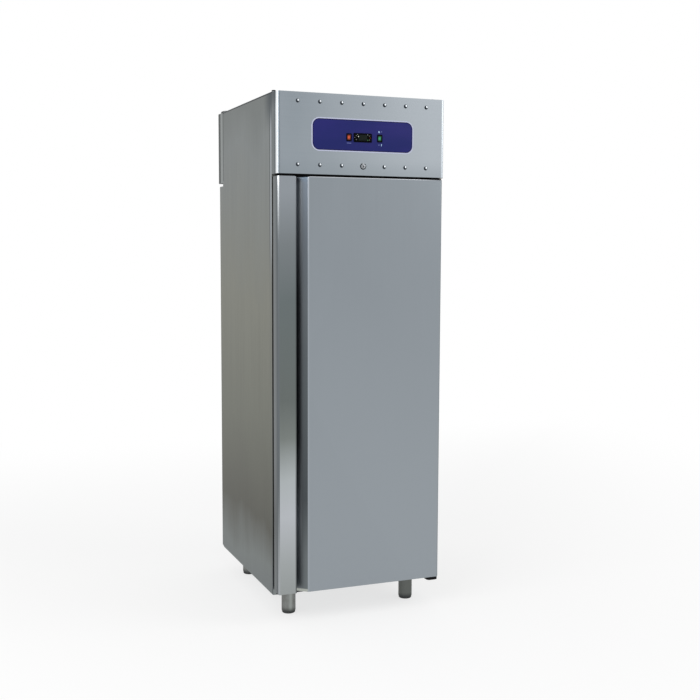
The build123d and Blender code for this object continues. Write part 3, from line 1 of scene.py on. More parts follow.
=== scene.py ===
"""An upright stainless freezer on four legs, shown from the front and its left.

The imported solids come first, then each piece of the freezer in the order it is put together.
"""

import math

import bmesh
import bpy
from mathutils import Matrix, Vector


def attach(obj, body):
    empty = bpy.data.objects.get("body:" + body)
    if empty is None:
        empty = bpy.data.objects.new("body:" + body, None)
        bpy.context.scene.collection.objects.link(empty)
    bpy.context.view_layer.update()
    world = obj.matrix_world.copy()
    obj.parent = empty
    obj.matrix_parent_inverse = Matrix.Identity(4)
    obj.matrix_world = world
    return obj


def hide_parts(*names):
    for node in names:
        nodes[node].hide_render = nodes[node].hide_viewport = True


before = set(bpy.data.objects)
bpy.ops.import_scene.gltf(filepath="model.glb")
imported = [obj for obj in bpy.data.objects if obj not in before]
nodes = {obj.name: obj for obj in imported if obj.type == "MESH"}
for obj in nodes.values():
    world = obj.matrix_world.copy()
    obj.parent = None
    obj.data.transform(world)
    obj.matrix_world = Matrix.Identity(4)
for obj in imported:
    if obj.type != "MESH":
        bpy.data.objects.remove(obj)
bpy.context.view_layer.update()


# Camera: a standing person's view of the front and the left side. It looks down a little, and the
# lens takes in the whole freezer with white all round it.
camera_place = Vector((-1.644, -4.430, 1.511))
camera_yaw = math.radians(21.707)
camera_pitch = math.radians(5.499)
camera_roll = math.radians(0.21)
camera_data = bpy.data.cameras.new("camera")
camera_data.lens = 55.59
camera_data.sensor_width = 36.0
camera_data.clip_end = 200.0
camera = bpy.data.objects.new("camera", camera_data)
camera.matrix_world = (
    Matrix.Translation(camera_place)
    @ Matrix.Rotation(-camera_yaw, 4, "Z")
    @ Matrix.Rotation(math.pi / 2 - camera_pitch, 4, "X")
    @ Matrix.Rotation(camera_roll, 4, "Z")
)
bpy.context.scene.collection.objects.link(camera)
bpy.context.scene.camera = camera
bpy.context.scene.view_settings.view_transform = "Standard"


# Studio: a pale floor that keeps the freezer's shadow and runs out to white, a white world, and
# large soft lamps ahead of it on the left and on the right.
class Value:
    """One socket of a finish. Sums written with it add the Math nodes that work them out."""

    def __init__(self, finish, socket):
        self.finish = finish
        self.socket = socket

    def maths(self, operation, *terms):
        return self.finish.node("Math", {"operation": operation}, dict(enumerate(terms)))

    def __add__(self, other):
        return self.maths("ADD", self, other)

    def __mul__(self, other):
        return self.maths("MULTIPLY", self, other)

    def __sub__(self, other):
        return self.maths("SUBTRACT", self, other)

    def __rsub__(self, other):
        return self.maths("SUBTRACT", other, self)

    def __truediv__(self, other):
        return self.maths("DIVIDE", self, other)

    def __lt__(self, other):
        return self.maths("LESS_THAN", self, other)

    def __gt__(self, other):
        return self.maths("GREATER_THAN", self, other)

    __radd__ = __add__
    __rmul__ = __mul__

    def size(self):
        return self.maths("ABSOLUTE", self)

    def least(self, other):
        return self.maths("MINIMUM", self, other)

    def most(self, other):
        return self.maths("MAXIMUM", self, other)

    def within(self, low, high):
        """1 between two limits, and 0 outside them."""
        return (self > low) * (self < high)

    def wrap(self, half):
        """The value started again each time it passes half a pitch, on either side of 0."""
        return self.maths("WRAP", self, half, -half)

    def ripple(self):
        """0 at every whole number and 1 halfway between two."""
        return self.maths("PINGPONG", self, 0.5) * 2.0

    def reach(self, other):
        """The distance that this step and another at a right angle to it make together."""
        spot = self.finish.node("CombineXYZ", {}, {0: self, 1: other})
        return self.finish.node("VectorMath", {"operation": "LENGTH"}, {0: spot}, "Value")

    def ramp(self, start, end):
        """0 up to start, 1 from end, and a soft curve between them."""
        settings = {"interpolation_type": "SMOOTHSTEP"}
        return self.finish.node("MapRange", settings, {0: self, 1: start, 2: end})


class Finish:
    """A material under construction, with one method that adds any node to it."""

    def __init__(self, name, **sockets):
        self.material = bpy.data.materials.new(name)
        self.material.use_nodes = True
        self.tree = self.material.node_tree
        self.shader = self.tree.nodes["Principled BSDF"]
        self.set(**sockets)

    def set(self, **sockets):
        for socket, value in sockets.items():
            self.feed(self.shader.inputs[socket.replace("_", " ")], value)

    def feed(self, socket, value):
        if isinstance(value, Value):
            self.tree.links.new(value.socket, socket)
        elif isinstance(value, tuple) and len(value) == 3 and socket.type == "RGBA":
            socket.default_value = (*value, 1.0)
        else:
            socket.default_value = value

    def node(self, kind, settings, inputs, output=0):
        made = self.tree.nodes.new("ShaderNode" + kind)
        stops = settings.pop("stops", ())
        for name, value in settings.items():
            setattr(made, name, value)
        for number, (place, colour) in enumerate(stops):
            if number > 1:
                made.color_ramp.elements.new(place)
            made.color_ramp.elements[number].position = place
            made.color_ramp.elements[number].color = (*colour, 1.0)
        for name, value in inputs.items():
            self.feed(made.inputs[name], value)
        return Value(self, made.outputs[output])

    def place(self, size=(1, 1, 1), centre=(0, 0, 0)):
        """The point on the piece in metres, from a centre and in units of a size."""
        point = self.node("TexCoord", {}, {}, "Object")
        inputs = {"Vector": point, "Location": centre, "Scale": size}
        return self.node("Mapping", {"vector_type": "TEXTURE"}, inputs)

    def axis(self, letter, centre=0.0):
        """How far the point lies along one axis from a centre, in metres."""
        spot = [0, 0, 0]
        spot["XYZ".index(letter)] = centre
        return self.node("SeparateXYZ", {}, {0: self.place(centre=tuple(spot))}, letter)

    def noise(self, size, detail=2.0):
        """Soft noise from 0 to 1, with blobs of one size or of a size along each axis, in metres."""
        sizes = size if isinstance(size, tuple) else (size, size, size)
        return self.node("TexNoise", {}, {"Vector": self.place(sizes), "Scale": 1.0, "Detail": detail})

    def mix(self, share, first, second, blend="MIX"):
        """A colour between two others, or another blend of them."""
        settings = {"data_type": "RGBA", "blend_type": blend}
        return self.node("Mix", settings, {0: share, 6: first, 7: second}, 2)

    def layer(self, tone, *coats):
        """A colour with further ones laid over it, each by its own share."""
        for share, coat in coats:
            tone = self.mix(share, tone, coat)
        return tone

    def graded(self, share, stops):
        """A colour read off a scale of (place, colour) stops."""
        return self.node("ValToRGB", {"stops": stops}, {0: share})

    def bump(self, height, distance):
        return self.node("Bump", {}, {"Height": height, "Distance": distance})


def shade(red, green, blue):
    """A colour as it is seen on a screen, out of 255, turned into light."""
    return tuple(((c / 255 + 0.055) / 1.055) ** 2.4 if c > 10 else c / 3294 for c in (red, green, blue))


paper_white = 0.92
floor_clear, floor_white = 0.9, 4.0
floor_half, floor_drop = 60.0, 0.0005
floor_finish = Finish("studio_floor", Base_Color=(paper_white,) * 3, Roughness=0.9, Specular_IOR_Level=0.0)
out = floor_finish.axis("X").size().most(floor_finish.axis("Y").size())
fade = out.ramp(floor_clear, floor_white) * 0.3 + 0.7
white = floor_finish.node("Emission", {}, {"Color": (1.0, 1.0, 1.0), "Strength": 1.0})
paper = Value(floor_finish, floor_finish.shader.outputs[0])
seen = floor_finish.node("LightPath", {}, {}, "Is Camera Ray")
seen = seen.most(floor_finish.node("LightPath", {}, {}, "Is Glossy Ray"))
surface = floor_finish.node("MixShader", {}, {0: fade * seen, 1: paper, 2: white})
floor_finish.feed(floor_finish.tree.nodes["Material Output"].inputs["Surface"], surface)
floor_mesh = bpy.data.meshes.new("studio_floor")
form = bmesh.new()
bmesh.ops.create_grid(form, x_segments=1, y_segments=1, size=floor_half)
bmesh.ops.translate(form, verts=form.verts, vec=(0, 0, -floor_drop))
form.to_mesh(floor_mesh)
form.free()
floor_mesh.materials.append(floor_finish.material)
floor = bpy.data.objects.new("studio_floor", floor_mesh)
bpy.context.scene.collection.objects.link(floor)

room_light = 0.72
world = bpy.data.worlds.new("studio")
bpy.context.scene.world = world
world.use_nodes = True
backdrop = world.node_tree.nodes["Background"]
backdrop.inputs["Color"].default_value = (1.0, 1.0, 1.0, 1.0)
path = world.node_tree.nodes.new("ShaderNodeLightPath")
seen = path.outputs["Is Camera Ray"]
for ray in ("Is Glossy Ray", "Is Transmission Ray"):
    either = world.node_tree.nodes.new("ShaderNodeMath")
    either.operation = "MAXIMUM"
    world.node_tree.links.new(seen, either.inputs[0])
    world.node_tree.links.new(path.outputs[ray], either.inputs[1])
    seen = either.outputs[0]
level = world.node_tree.nodes.new("ShaderNodeMapRange")
world.node_tree.links.new(seen, level.inputs["Value"])
level.inputs["To Min"].default_value = room_light
level.inputs["To Max"].default_value = 1.0
world.node_tree.links.new(level.outputs["Result"], backdrop.inputs["Strength"])


def add_lamp(name, place, target, width, height, power):
    """A soft lamp of a size in metres that points at a target."""
    data = bpy.data.lights.new(name, "AREA")
    data.shape = "RECTANGLE"
    data.size = width
    data.size_y = height
    data.energy = power
    lamp = bpy.data.objects.new(name, data)
    towards = (Vector(target) - Vector(place)).to_track_quat("-Z", "Y")
    lamp.matrix_world = Matrix.Translation(place) @ towards.to_matrix().to_4x4()
    bpy.context.scene.collection.objects.link(lamp)


add_lamp("left_lamp", (-3.4, -2.2, 2.95), (-0.3, -0.3, 1.3), 3.4, 1.9, 70.0)
add_lamp("right_lamp", (3.6, -2.4, 3.4), (0, 0, 1.1), 2.4, 2.4, 50.0)


# Side panels: one stainless sheet each, brushed upright and bent in at the front and the top. They
# are screwed and riveted to the cabinet; a darker band low down is a painted reflection of the floor.
def ride_finish(finish, *names):
    """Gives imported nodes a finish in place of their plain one."""
    for name in names:
        for slot in nodes[name].material_slots:
            slot.material = finish.material


def brushed(finish, along, depth=0.00002):
    """Streaks of a brushed sheet along one axis: a share from 0 to 1, which also marks the surface."""
    fine = tuple(0.16 if letter == along else 0.0007 for letter in "XYZ")
    broad = tuple(0.7 if letter == along else 0.005 for letter in "XYZ")
    streaks = finish.noise(fine, detail=3.0) * 0.6 + finish.noise(broad) * 0.4
    finish.set(Normal=finish.bump(streaks, depth))
    return streaks


def steel(name, along, dark, light, roughness):
    """Brushed stainless steel between two colours, with faint blotches from handling."""
    finish = Finish(name, Metallic=1.0, Specular_Tint=(0.7, 0.7, 0.7))
    streaks = brushed(finish, along)
    blotch = finish.noise((0.30, 0.30, 0.55), detail=3.0)
    share = streaks * 0.55 + blotch * 0.45
    finish.set(Base_Color=finish.mix(share.ramp(0.25, 0.75), dark, light))
    finish.set(Roughness=roughness + (blotch - 0.5) * 0.10 + (streaks - 0.5) * 0.10)
    return finish


# Tones by height: the dark band low down is a painted reflection of the floor.
side_tones = [
    (0.00, shade(138, 144, 146)),
    (0.08, shade(142, 148, 147)),
    (0.18, shade(107, 107, 99)),
    (0.38, shade(133, 135, 125)),
    (0.60, shade(148, 149, 139)),
    (0.92, shade(151, 156, 156)),
    (1.00, shade(140, 145, 144)),
]
side_face, side_front, side_top = 0.3548, -0.361, 2.1
edge_end, low_edge_end, bend_end, crease_end, rear_start = 0.0050, 0.0085, 0.0185, 0.0330, 0.7120
side_finish = Finish("brushed_side", Metallic=1.0, Specular_Tint=(0.63, 0.63, 0.63))
streaks = brushed(side_finish, "Z")
blotch = side_finish.noise((0.25, 0.30, 0.60), detail=4.0)
height, back = side_finish.axis("Z"), side_finish.axis("Y", side_front)
tone = side_finish.graded(height / side_top + (blotch - 0.5) * 0.16, side_tones)
lit = side_finish.mix(streaks.ramp(0.3, 0.7), shade(222, 222, 222), shade(255, 255, 255))
tone = side_finish.mix(1.0, tone, lit, "MULTIPLY")
outer = side_finish.axis("X").size() > side_face
# Painted light along the front: a painted highlight on the bend, painted shade in the crease behind it and
# on the front edge low down, and painted shade at the top front corner.
upper = height.ramp(1.35, 1.60) * height.ramp(2.10, 1.96)
corner_shade = height.ramp(1.94, 2.08) * back.ramp(0.120, 0.010) * outer
# Painted shade as dark lines along the top fold and the upper rear fold.
top_and_rear_fold_shade = (height > side_top - 0.0015) * 0.9 + outer * (back > rear_start) * (height > 1.80) * 0.45
side_finish.set(
    Base_Color=side_finish.layer(
        tone,
        (outer * back.within(edge_end, bend_end) * upper, shade(176, 182, 188)),
        (outer * back.within(bend_end, crease_end) * (upper * 0.65 + 0.2), shade(104, 109, 110)),
        (outer * (back < edge_end) * (1 - upper), shade(72, 78, 82)),
        (outer * (back < low_edge_end) * height.ramp(0.45, 0.15) * 0.95, shade(56, 62, 70)),
        (corner_shade * 0.85, shade(76, 84, 90)),
        (top_and_rear_fold_shade.least(1.0), shade(50, 54, 56)),
    ),
    Roughness=0.34 + (blotch - 0.5) * 0.10 + (streaks - 0.5) * 0.14,
)
ride_finish(side_finish, "side_panel_left", "side_panel_right")


# Cabinet: rigid foam poured between the stainless liner, the side panels and the zinc-coated sheets
# that close the bottom, back and top. The liner is one folded box with coved corners.
foam_finish = Finish("foam", Roughness=0.92)
cells = foam_finish.noise(0.0025, detail=3.0)
share = (cells * 0.4 + foam_finish.noise(0.12) * 0.6).ramp(0.3, 0.7)
foam_finish.set(Base_Color=foam_finish.mix(share, shade(214, 196, 140), shade(238, 226, 180)))
foam_finish.set(Normal=foam_finish.bump(cells, 0.0006))
ride_finish(foam_finish, "body_foam")


def zinc_coated(name, dark, light, roughness=0.42):
    """Galvanised sheet, whose zinc has set in crystals a few millimetres across."""
    finish = Finish(name, Metallic=1.0)
    crystals = {"Vector": finish.place((0.009, 0.009, 0.009)), "Scale": 1.0, "Randomness": 1.0}
    tint = finish.node("TexVoronoi", {}, crystals, "Color")
    facet = finish.node("SeparateColor", {}, {0: tint}, "Red")
    cloud = finish.noise(0.16, detail=3.0)
    finish.set(
        Base_Color=finish.mix((facet * 0.35 + cloud * 0.65).ramp(0.1, 0.9), dark, light),
        Roughness=roughness + (facet - 0.5) * 0.16,
        Normal=finish.bump(facet, 0.00003),
    )
    return finish


zinc_finish = zinc_coated("zinc_sheet", shade(148, 154, 158), shade(172, 177, 180))
ride_finish(zinc_finish, "back_panel", "roof_panel", "base_panel")
liner_finish = steel("liner_steel", "Z", shade(172, 176, 178), shade(190, 193, 194), roughness=0.30)
ride_finish(liner_finish, "inner_liner", "air_duct", "evaporator_housing")


# Front frame: the dark moulded ring round the opening, which the gasket closes on and which keeps the
# cold from reaching the outer sheets. It is clipped over the liner's edge.
frame_finish = Finish("frame_plastic", Specular_IOR_Level=0.35)
grain, cloud = frame_finish.noise(0.0012), frame_finish.noise(0.2)
frame_finish.set(
    Base_Color=frame_finish.mix(cloud.ramp(0.3, 0.7), shade(30, 32, 36), shade(40, 42, 46)),
    Roughness=0.52 + (grain - 0.5) * 0.2,
    Normal=frame_finish.bump(grain, 0.0001),
)
ride_finish(frame_finish, "front_frame")


# Shelf fittings: slotted stainless uprights riveted to the liner, and the bent angles that hook into
# them and carry the shelves. Both have a plain mill finish, rubbed brighter where they are handled.
fitting_finish = steel("fitting_steel", "Y", shade(160, 164, 166), shade(184, 187, 188), roughness=0.34)
ride_finish(fitting_finish, "shelf_uprights", "shelf_runners")


# Evaporator: a block of thin aluminium fins pressed on copper tubes, between two end plates. Its
# defrost heater is a black steel-sheathed loop clipped in under the fins.
fin_pitch = 0.0028
coil_finish = Finish("fin_aluminium", Metallic=1.0, Roughness=0.4)
ridge = (coil_finish.axis("X") / fin_pitch).ripple()
# The fins are drawn as stripes: pale fin edges, with painted shade in the gaps between them.
share = (ridge * 0.7 + coil_finish.noise(0.03, detail=3.0) * 0.3).ramp(0.1, 0.9)
coil_finish.set(Base_Color=coil_finish.mix(share, shade(96, 98, 100), shade(206, 208, 211)))
coil_finish.set(Normal=coil_finish.bump(ridge, 0.0004))
ride_finish(coil_finish, "evaporator_coil", "condenser_coil")


def mottled(name, size, tones, share, rough, detail=3.0, grain=None, depth=0.0, **sockets):
    """A finish whose colour drifts between two tones, and its roughness over a range, in soft blobs.

    Its surface is raised to a depth by a finer grain, or by the blobs where no grain is given.
    """
    finish = Finish(name, **sockets)
    cloud = finish.noise(size, detail)
    finish.set(Base_Color=finish.mix(cloud.ramp(*share), *tones), Roughness=rough[0] + cloud * rough[1])
    if depth:
        finish.set(Normal=finish.bump(finish.noise(grain) if grain else cloud, depth))
    return finish


def new_piece(form, name, finish, body, *replaced, angle=35, slot=None):
    """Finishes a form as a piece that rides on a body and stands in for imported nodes."""
    bmesh.ops.remove_doubles(form, verts=form.verts, dist=0.00001)
    bmesh.ops.recalc_face_normals(form, faces=form.faces)
    mesh = bpy.data.meshes.new(name)
    form.to_mesh(mesh)
    form.free()
    mesh.shade_smooth()
    mesh.set_sharp_from_angle(angle=math.radians(angle))
    mesh.materials.append(finish.material)
    piece = bpy.data.objects.new(name, mesh)
    bpy.context.scene.collection.objects.link(piece)
    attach(piece, body)
    if replaced:
        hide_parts(*replaced)


def add_run(form, route, radius, bend):
    """A round tube along a route, bent at each corner within a distance of it."""
    points = [Vector(route[0])]
    for before, corner, after in zip(route, route[1:], route[2:]):
        corner = Vector(corner)
        points.append(corner + (Vector(before) - corner).normalized() * bend)
        points.append(corner)
        points.append(corner + (Vector(after) - corner).normalized() * bend)
    points.append(Vector(route[-1]))
    line = bpy.data.curves.new("run", "CURVE")
    line.dimensions = "3D"
    line.bevel_depth = radius
    line.bevel_resolution = 4
    line.use_fill_caps = True
    line.resolution_u = 6
    spline = line.splines.new("NURBS")
    spline.points.add(len(points) - 1)
    for point, place in zip(spline.points, points):
        point.co = (*place, 1.0)
    spline.order_u = 3
    spline.use_endpoint_u = True
    drawn = bpy.data.objects.new("run", line)
    mesh = bpy.data.meshes.new_from_object(drawn)
    form.from_mesh(mesh)
    bpy.data.objects.remove(drawn)
    bpy.data.meshes.remove(mesh)
    bpy.data.curves.remove(line)


heater_tones = shade(70, 66, 62), shade(104, 98, 96)
heater_finish = mottled("heater_steel", 0.05, heater_tones, (0.3, 0.7), (0.35, 0.2), Metallic=1.0)
heater_left, heater_right, heater_front, heater_back, heater_z = -0.227, 0.202, 0.0675, 0.1225, 1.5395
heater_route = [(heater_left, heater_front, heater_z), (heater_right, heater_front, heater_z)]
heater_route += [(heater_right, heater_back, heater_z), (heater_left, heater_back, heater_z)]
form = bmesh.new()
add_run(form, heater_route, 0.004, 0.020)
new_piece(form, "heater_loop", heater_finish, "cabinet", "defrost_heater", slot="heater_steel")


# Fans: four pressed blades, pitched and cambered, riveted to a moulded hub. The evaporator's fan blows
# forwards through the grille, and the condenser's draws air back through the coil.
fan_tones = shade(22, 22, 24), shade(48, 47, 45)
plastic_finish = mottled(
    "fan_plastic",
    0.05,
    fan_tones,
    (0.45, 0.8),
    (0.45, 0.2),
    grain=0.0015,
    depth=0.0001,
    Specular_IOR_Level=0.4,
)
upright = Matrix.Rotation(math.radians(90), 4, "X")


def joined_to(corners):
    """The corners given, and every other one that edges join to them."""
    joined = list(corners)
    known = set(joined)
    for corner in joined:
        for edge in corner.link_edges:
            other = edge.other_vert(corner)
            if other not in known:
                known.add(other)
                joined.append(other)
    return joined


def add_turned(form, outline, place=(0, 0, 0), turn=Matrix(), *, sides):
    """An outline of (radius, height) corners, spun round an upright axis and then put in its place."""
    corners = [form.verts.new((radius, 0.0, height)) for radius, height in outline]
    edges = [form.edges.new(pair) for pair in zip(corners, corners[1:])]
    bmesh.ops.spin(
        form,
        geom=corners + edges,
        cent=(0, 0, 0),
        axis=(0, 0, 1),
        angle=2 * math.pi,
        steps=sides,
        use_merge=True,
    )
    turned = joined_to(corners)
    bmesh.ops.transform(form, matrix=Matrix.Translation(place) @ turn, verts=turned)
    bmesh.ops.remove_doubles(form, verts=turned, dist=0.000005)


def add_fan(name, place, tip, hub, height, chord):
    """A fan that faces the front or the back: its blades, its hub and the hub's rounded nose."""
    form = bmesh.new()
    blades, sheet = 4, 0.0014
    root = hub * 0.82
    for number in range(blades):
        blade = bmesh.ops.create_grid(form, x_segments=8, y_segments=8, size=0.5)["verts"]
        for corner in blade:
            out = root + (corner.co.x + 0.5) * (tip - root)
            share = (out - hub) / (tip - hub)
            width = chord * (0.78 + 0.30 * share - 0.28 * max(share - 0.75, 0.0) * 4 * abs(corner.co.y))
            across = corner.co.y * width + 0.10 * chord * share
            pitch = math.radians(31 - 9 * share)
            camber = 0.10 * chord * (1 - (2 * corner.co.y) ** 2)
            reach = math.sqrt(max(out**2 - across**2 * math.cos(pitch) ** 2, 0.0))
            rise = across * math.sin(pitch) + camber - 0.05 * chord
            corner.co = (reach, across * math.cos(pitch), rise)
        faces = list({face for corner in blade for face in corner.link_faces})
        bmesh.ops.solidify(form, geom=faces + blade, thickness=sheet)
        spun = Matrix.Rotation(2 * math.pi * number / blades, 4, "Z")
        bmesh.ops.transform(form, matrix=spun, verts=joined_to(blade))
    half = height / 2
    outline = [(0.0, half), (hub * 0.55, half), (hub * 0.9, half - 0.002), (hub, half - 0.006)]
    outline += [(hub, -half), (hub * 0.86, -half), (hub * 0.8, -half + 0.004), (0.0, -half + 0.004)]
    add_turned(form, outline, sides=36)
    bmesh.ops.transform(form, matrix=Matrix.Translation(place) @ upright, verts=form.verts)
    new_piece(form, name + "_blades", plastic_finish, name, name, angle=40, slot="black_plastic")


cold_fan_z, cold_fan_y, cold_fan_nose = 1.6235, -0.1525, -0.1385
add_fan("evaporator_fan", (0.0, cold_fan_y, cold_fan_z), 0.074, 0.022, 0.022, 0.042)


# Fan motors: a finned aluminium can with a stepped nose and a steel shaft, on a strap that is bolted
# down through its bent foot. They are painted black.
motor_tones = shade(24, 24, 26), shade(44, 44, 46)
motor_finish = mottled(
    "motor_paint",
    0.04,
    motor_tones,
    (0.3, 0.8),
    (0.38, 0.2),
    grain=0.002,
    depth=0.0001,
    Coat_Weight=0.2,
    Specular_IOR_Level=0.5,
)


def rounded(form, items, radius, segments=2, kind="EDGES", clamp=False):
    """Rounds edges, or the corners of a flat outline, to a radius."""
    settings = {"affect": kind, "profile": 0.5, "material": -1, "clamp_overlap": clamp}
    bmesh.ops.bevel(form, geom=items, offset=radius, segments=segments, **settings)


def add_block(form, low, high, radius=0.0, segments=2):
    """A box between two corners, with its edges rounded to a radius."""
    low, high = Vector(low), Vector(high)
    place = Matrix.Translation((low + high) / 2) @ Matrix.Diagonal((*(high - low), 1.0))
    corners = bmesh.ops.create_cube(form, size=1.0, matrix=place)["verts"]
    if radius:
        edges = list({edge for corner in corners for edge in corner.link_edges})
        rounded(form, edges, radius, segments, clamp=True)


def add_motor(name, x, y, z, radius, length, base, direction):
    """A motor whose nose is at y and points along direction, with cooling ribs round its can."""
    form = bmesh.new()
    outline = [(0.0, 0.014), (0.004, 0.014), (0.004, 0.0), (0.012, 0.0), (0.016, -0.002), (0.016, -0.008)]
    outline += [(radius - 0.004, -0.008), (radius, -0.012)]
    rib_pitch, rib_depth = 0.006, 0.002
    for rib in range(int((length - 0.024) / rib_pitch)):
        start = -0.014 - rib * rib_pitch
        outline += [(radius, start), (radius - rib_depth, start - 0.001)]
        outline += [(radius - rib_depth, start - 0.004), (radius, start - 0.005)]
    outline += [(radius, -length + 0.004), (radius - 0.004, -length), (0.0, -length)]
    add_turned(form, outline, (x, y, z), Matrix.Rotation(math.radians(-90 * direction), 4, "X"), sides=40)
    rear = y - direction * length
    for reach, top in ((0.003, z), (0.024, base + 0.003)):
        near, far = sorted((rear, rear - direction * reach))
        add_block(form, (x - 0.015, near, base), (x + 0.015, far, top), 0.0006)
    foot = (x, rear - direction * 0.014, base + 0.003)
    add_turned(form, [(0.0, 0.004), (0.003, 0.004), (0.0045, 0.0)], foot, sides=12)
    new_piece(form, name + "_can", motor_finish, "cabinet", name, slot="unit_black")


add_motor("evaporator_fan_motor", 0.0, cold_fan_nose, cold_fan_z, 0.034, 0.046, 1.5285, -1)


# Drain pipe: a white plastic tube that takes the defrost water from the housing down the back wall
# and out through the floor.
drain_tones = shade(226, 226, 222), shade(206, 203, 192)
drain_finish = mottled(
    "drain_plastic", (0.02, 0.02, 0.12), drain_tones, (0.4, 0.8), (0.4, 0.2), Specular_IOR_Level=0.45
)
drain_low, drain_high, drain_bore, drain_side = 0.092, 1.527, 0.0062, 0.009
drain_outline = [(drain_bore, drain_low), (0.0086, drain_low), (drain_side, drain_low + 0.0006)]
drain_outline += [(drain_side, drain_high - 0.0002), (0.0088, drain_high)]
drain_outline += [(drain_bore, drain_high), (drain_bore, drain_low)]
form = bmesh.new()
add_turned(form, drain_outline, (-0.264, 0.343, 0.0), sides=28)
new_piece(form, "drain_tube", drain_finish, "cabinet", "drain_pipe", slot="bush_plastic")


# Legs: four stainless tubes welded to square plates, which are bolted up under the base. Each takes a
# threaded foot that screws in and out to level the freezer.
leg_x, front_leg_y, rear_leg_y, highlight_half = 0.265, -0.288, 0.286, 0.011
leg_finish = Finish("leg_steel", Metallic=1.0, Specular_Tint=(0.75, 0.75, 0.75))
streaks = brushed(leg_finish, "Z", depth=0.000015)
smudge = leg_finish.noise((0.02, 0.02, 0.03), detail=3.0)
share = (streaks * 0.4 + smudge * 0.6).ramp(0.3, 0.7)
# A painted highlight runs down the front of each leg, and the right-hand legs are painted darker as painted
# shade. Below 30 mm the steel is darker towards the floor.
leg_highlight = (1 - leg_finish.axis("X", leg_x).wrap(leg_x).size() / highlight_half).most(0.0)
leg_tone = leg_finish.layer(
    leg_finish.mix(share, shade(112, 113, 110), shade(134, 137, 135)),
    (leg_highlight * 0.7, shade(160, 166, 162)),
    (leg_finish.axis("X") > 0.0, shade(98, 101, 98)),
)
low = leg_finish.axis("Z").ramp(0.006, 0.030)
leg_finish.set(Base_Color=leg_finish.mix(low, shade(64, 66, 66), leg_tone), Roughness=0.24 + smudge * 0.14)
leg_places = {
    "foot_front_left": (-leg_x, front_leg_y),
    "foot_front_right": (leg_x, front_leg_y),
    "foot_rear_left": (-leg_x, rear_leg_y),
    "foot_rear_right": (leg_x, rear_leg_y),
}
bore, bore_end, leg_low, leg_high = 0.0124, 0.082, 0.010, 0.1015
plate_half, plate_high, stud_reach = 0.045, 0.1040, 0.036
leg_outline = [(bore, leg_low), (0.0282, leg_low), (0.029, 0.0108), (0.029, 0.0980), (0.0305, 0.0992)]
leg_outline += [(0.0320, leg_high), (bore, leg_high)]
leg_bore = [(bore, leg_low), (bore, bore_end), (0.0, bore_end)]
stud = [(0.0, -0.0045), (0.005, -0.0045), (0.006, -0.0035), (0.006, 0.0)]
form = bmesh.new()
for x, y in leg_places.values():
    add_turned(form, leg_outline, (x, y, 0.0), sides=64)
    add_turned(form, leg_bore, (x, y, 0.0), sides=32)
    plate_low = (x - plate_half, y - plate_half, leg_high)
    add_block(form, plate_low, (x + plate_half, y + plate_half, plate_high), 0.0008)
    for side_x in (-stud_reach, stud_reach):
        for side_y in (-stud_reach, stud_reach):
            add_turned(form, stud, (x + side_x, y + side_y, leg_high), sides=12)
new_piece(form, "leg_tubes", leg_finish, "cabinet", "legs", slot="stainless_round")

foot_outline = [(0.0, 0.0), (0.0225, 0.0), (0.0248, 0.0006), (0.0266, 0.0022), (0.0274, 0.0042)]
foot_outline += [(0.0274, 0.0082), (0.0268, 0.0094), (0.0256, 0.0097), (0.0120, 0.0097)]
thread_start, thread_turns, thread_pitch, thread_end = 0.011, 26, 0.0025, 0.0780
for turn in range(thread_turns):
    foot_outline.append((0.0120, thread_start + turn * thread_pitch))
    foot_outline.append((0.0110, thread_start + (turn + 0.5) * thread_pitch))
foot_outline += [(0.0105, thread_end), (0.0, thread_end)]
for name, (x, y) in leg_places.items():
    form = bmesh.new()
    add_turned(form, foot_outline, (x, y, 0.0), sides=48)
    new_piece(form, name + "_disc", leg_finish, name, name, slot="stainless_round")


# Refrigeration unit: a zinc-coated tray in the compartment on top, with the compressor on rubber
# mounts at the front right. The compressor is a welded steel can in gloss black paint.
tray_finish = zinc_coated("tray_zinc", shade(150, 156, 160), shade(176, 181, 184))
ride_finish(tray_finish, "unit_base", "condenser_shroud", "fascia_rails")

unit_floor = 1.779
paint_tones = shade(12, 12, 14), shade(28, 28, 30)
paint_finish = mottled(
    "black_paint",
    0.05,
    paint_tones,
    (0.4, 0.8),
    (0.22, 0.14),
    grain=0.004,
    depth=0.0002,
    Coat_Weight=0.5,
    Coat_Roughness=0.12,
    Specular_IOR_Level=0.5,
)
pump_x, pump_y = 0.190, -0.171
shell_low, shell_waist, shell_high = 1.800, 1.896, 2.002
foot_half, foot_sheet = 0.100, 0.003
form = bmesh.new()
shell_outline = [
    (0.0, shell_low),
    (0.060, shell_low),
    (0.076, shell_low + 0.006),
    (0.084, shell_low + 0.018),
    (0.086, shell_low + 0.032),
    (0.086, shell_waist - 0.004),
    (0.0875, shell_waist - 0.0035),
    (0.0898, shell_waist - 0.002),
    (0.0898, shell_waist + 0.002),
    (0.0875, shell_waist + 0.0035),
    (0.086, shell_waist + 0.004),
    (0.086, shell_high - 0.040),
    (0.083, shell_high - 0.024),
    (0.074, shell_high - 0.011),
    (0.060, shell_high - 0.004),
    (0.040, shell_high - 0.001),
    (0.0, shell_high),
]
add_turned(form, shell_outline, (pump_x, pump_y, 0.0), sides=72)
foot_low = (pump_x - foot_half, pump_y - foot_half, shell_low - foot_sheet)
add_block(form, foot_low, (pump_x + foot_half, pump_y + foot_half, shell_low), 0.001)
add_block(form, (pump_x - 0.022, pump_y - 0.099, 1.835), (pump_x + 0.022, pump_y - 0.060, 1.880), 0.004)
new_piece(form, "compressor_shell", paint_finish, "cabinet", "compressor", slot="unit_black")

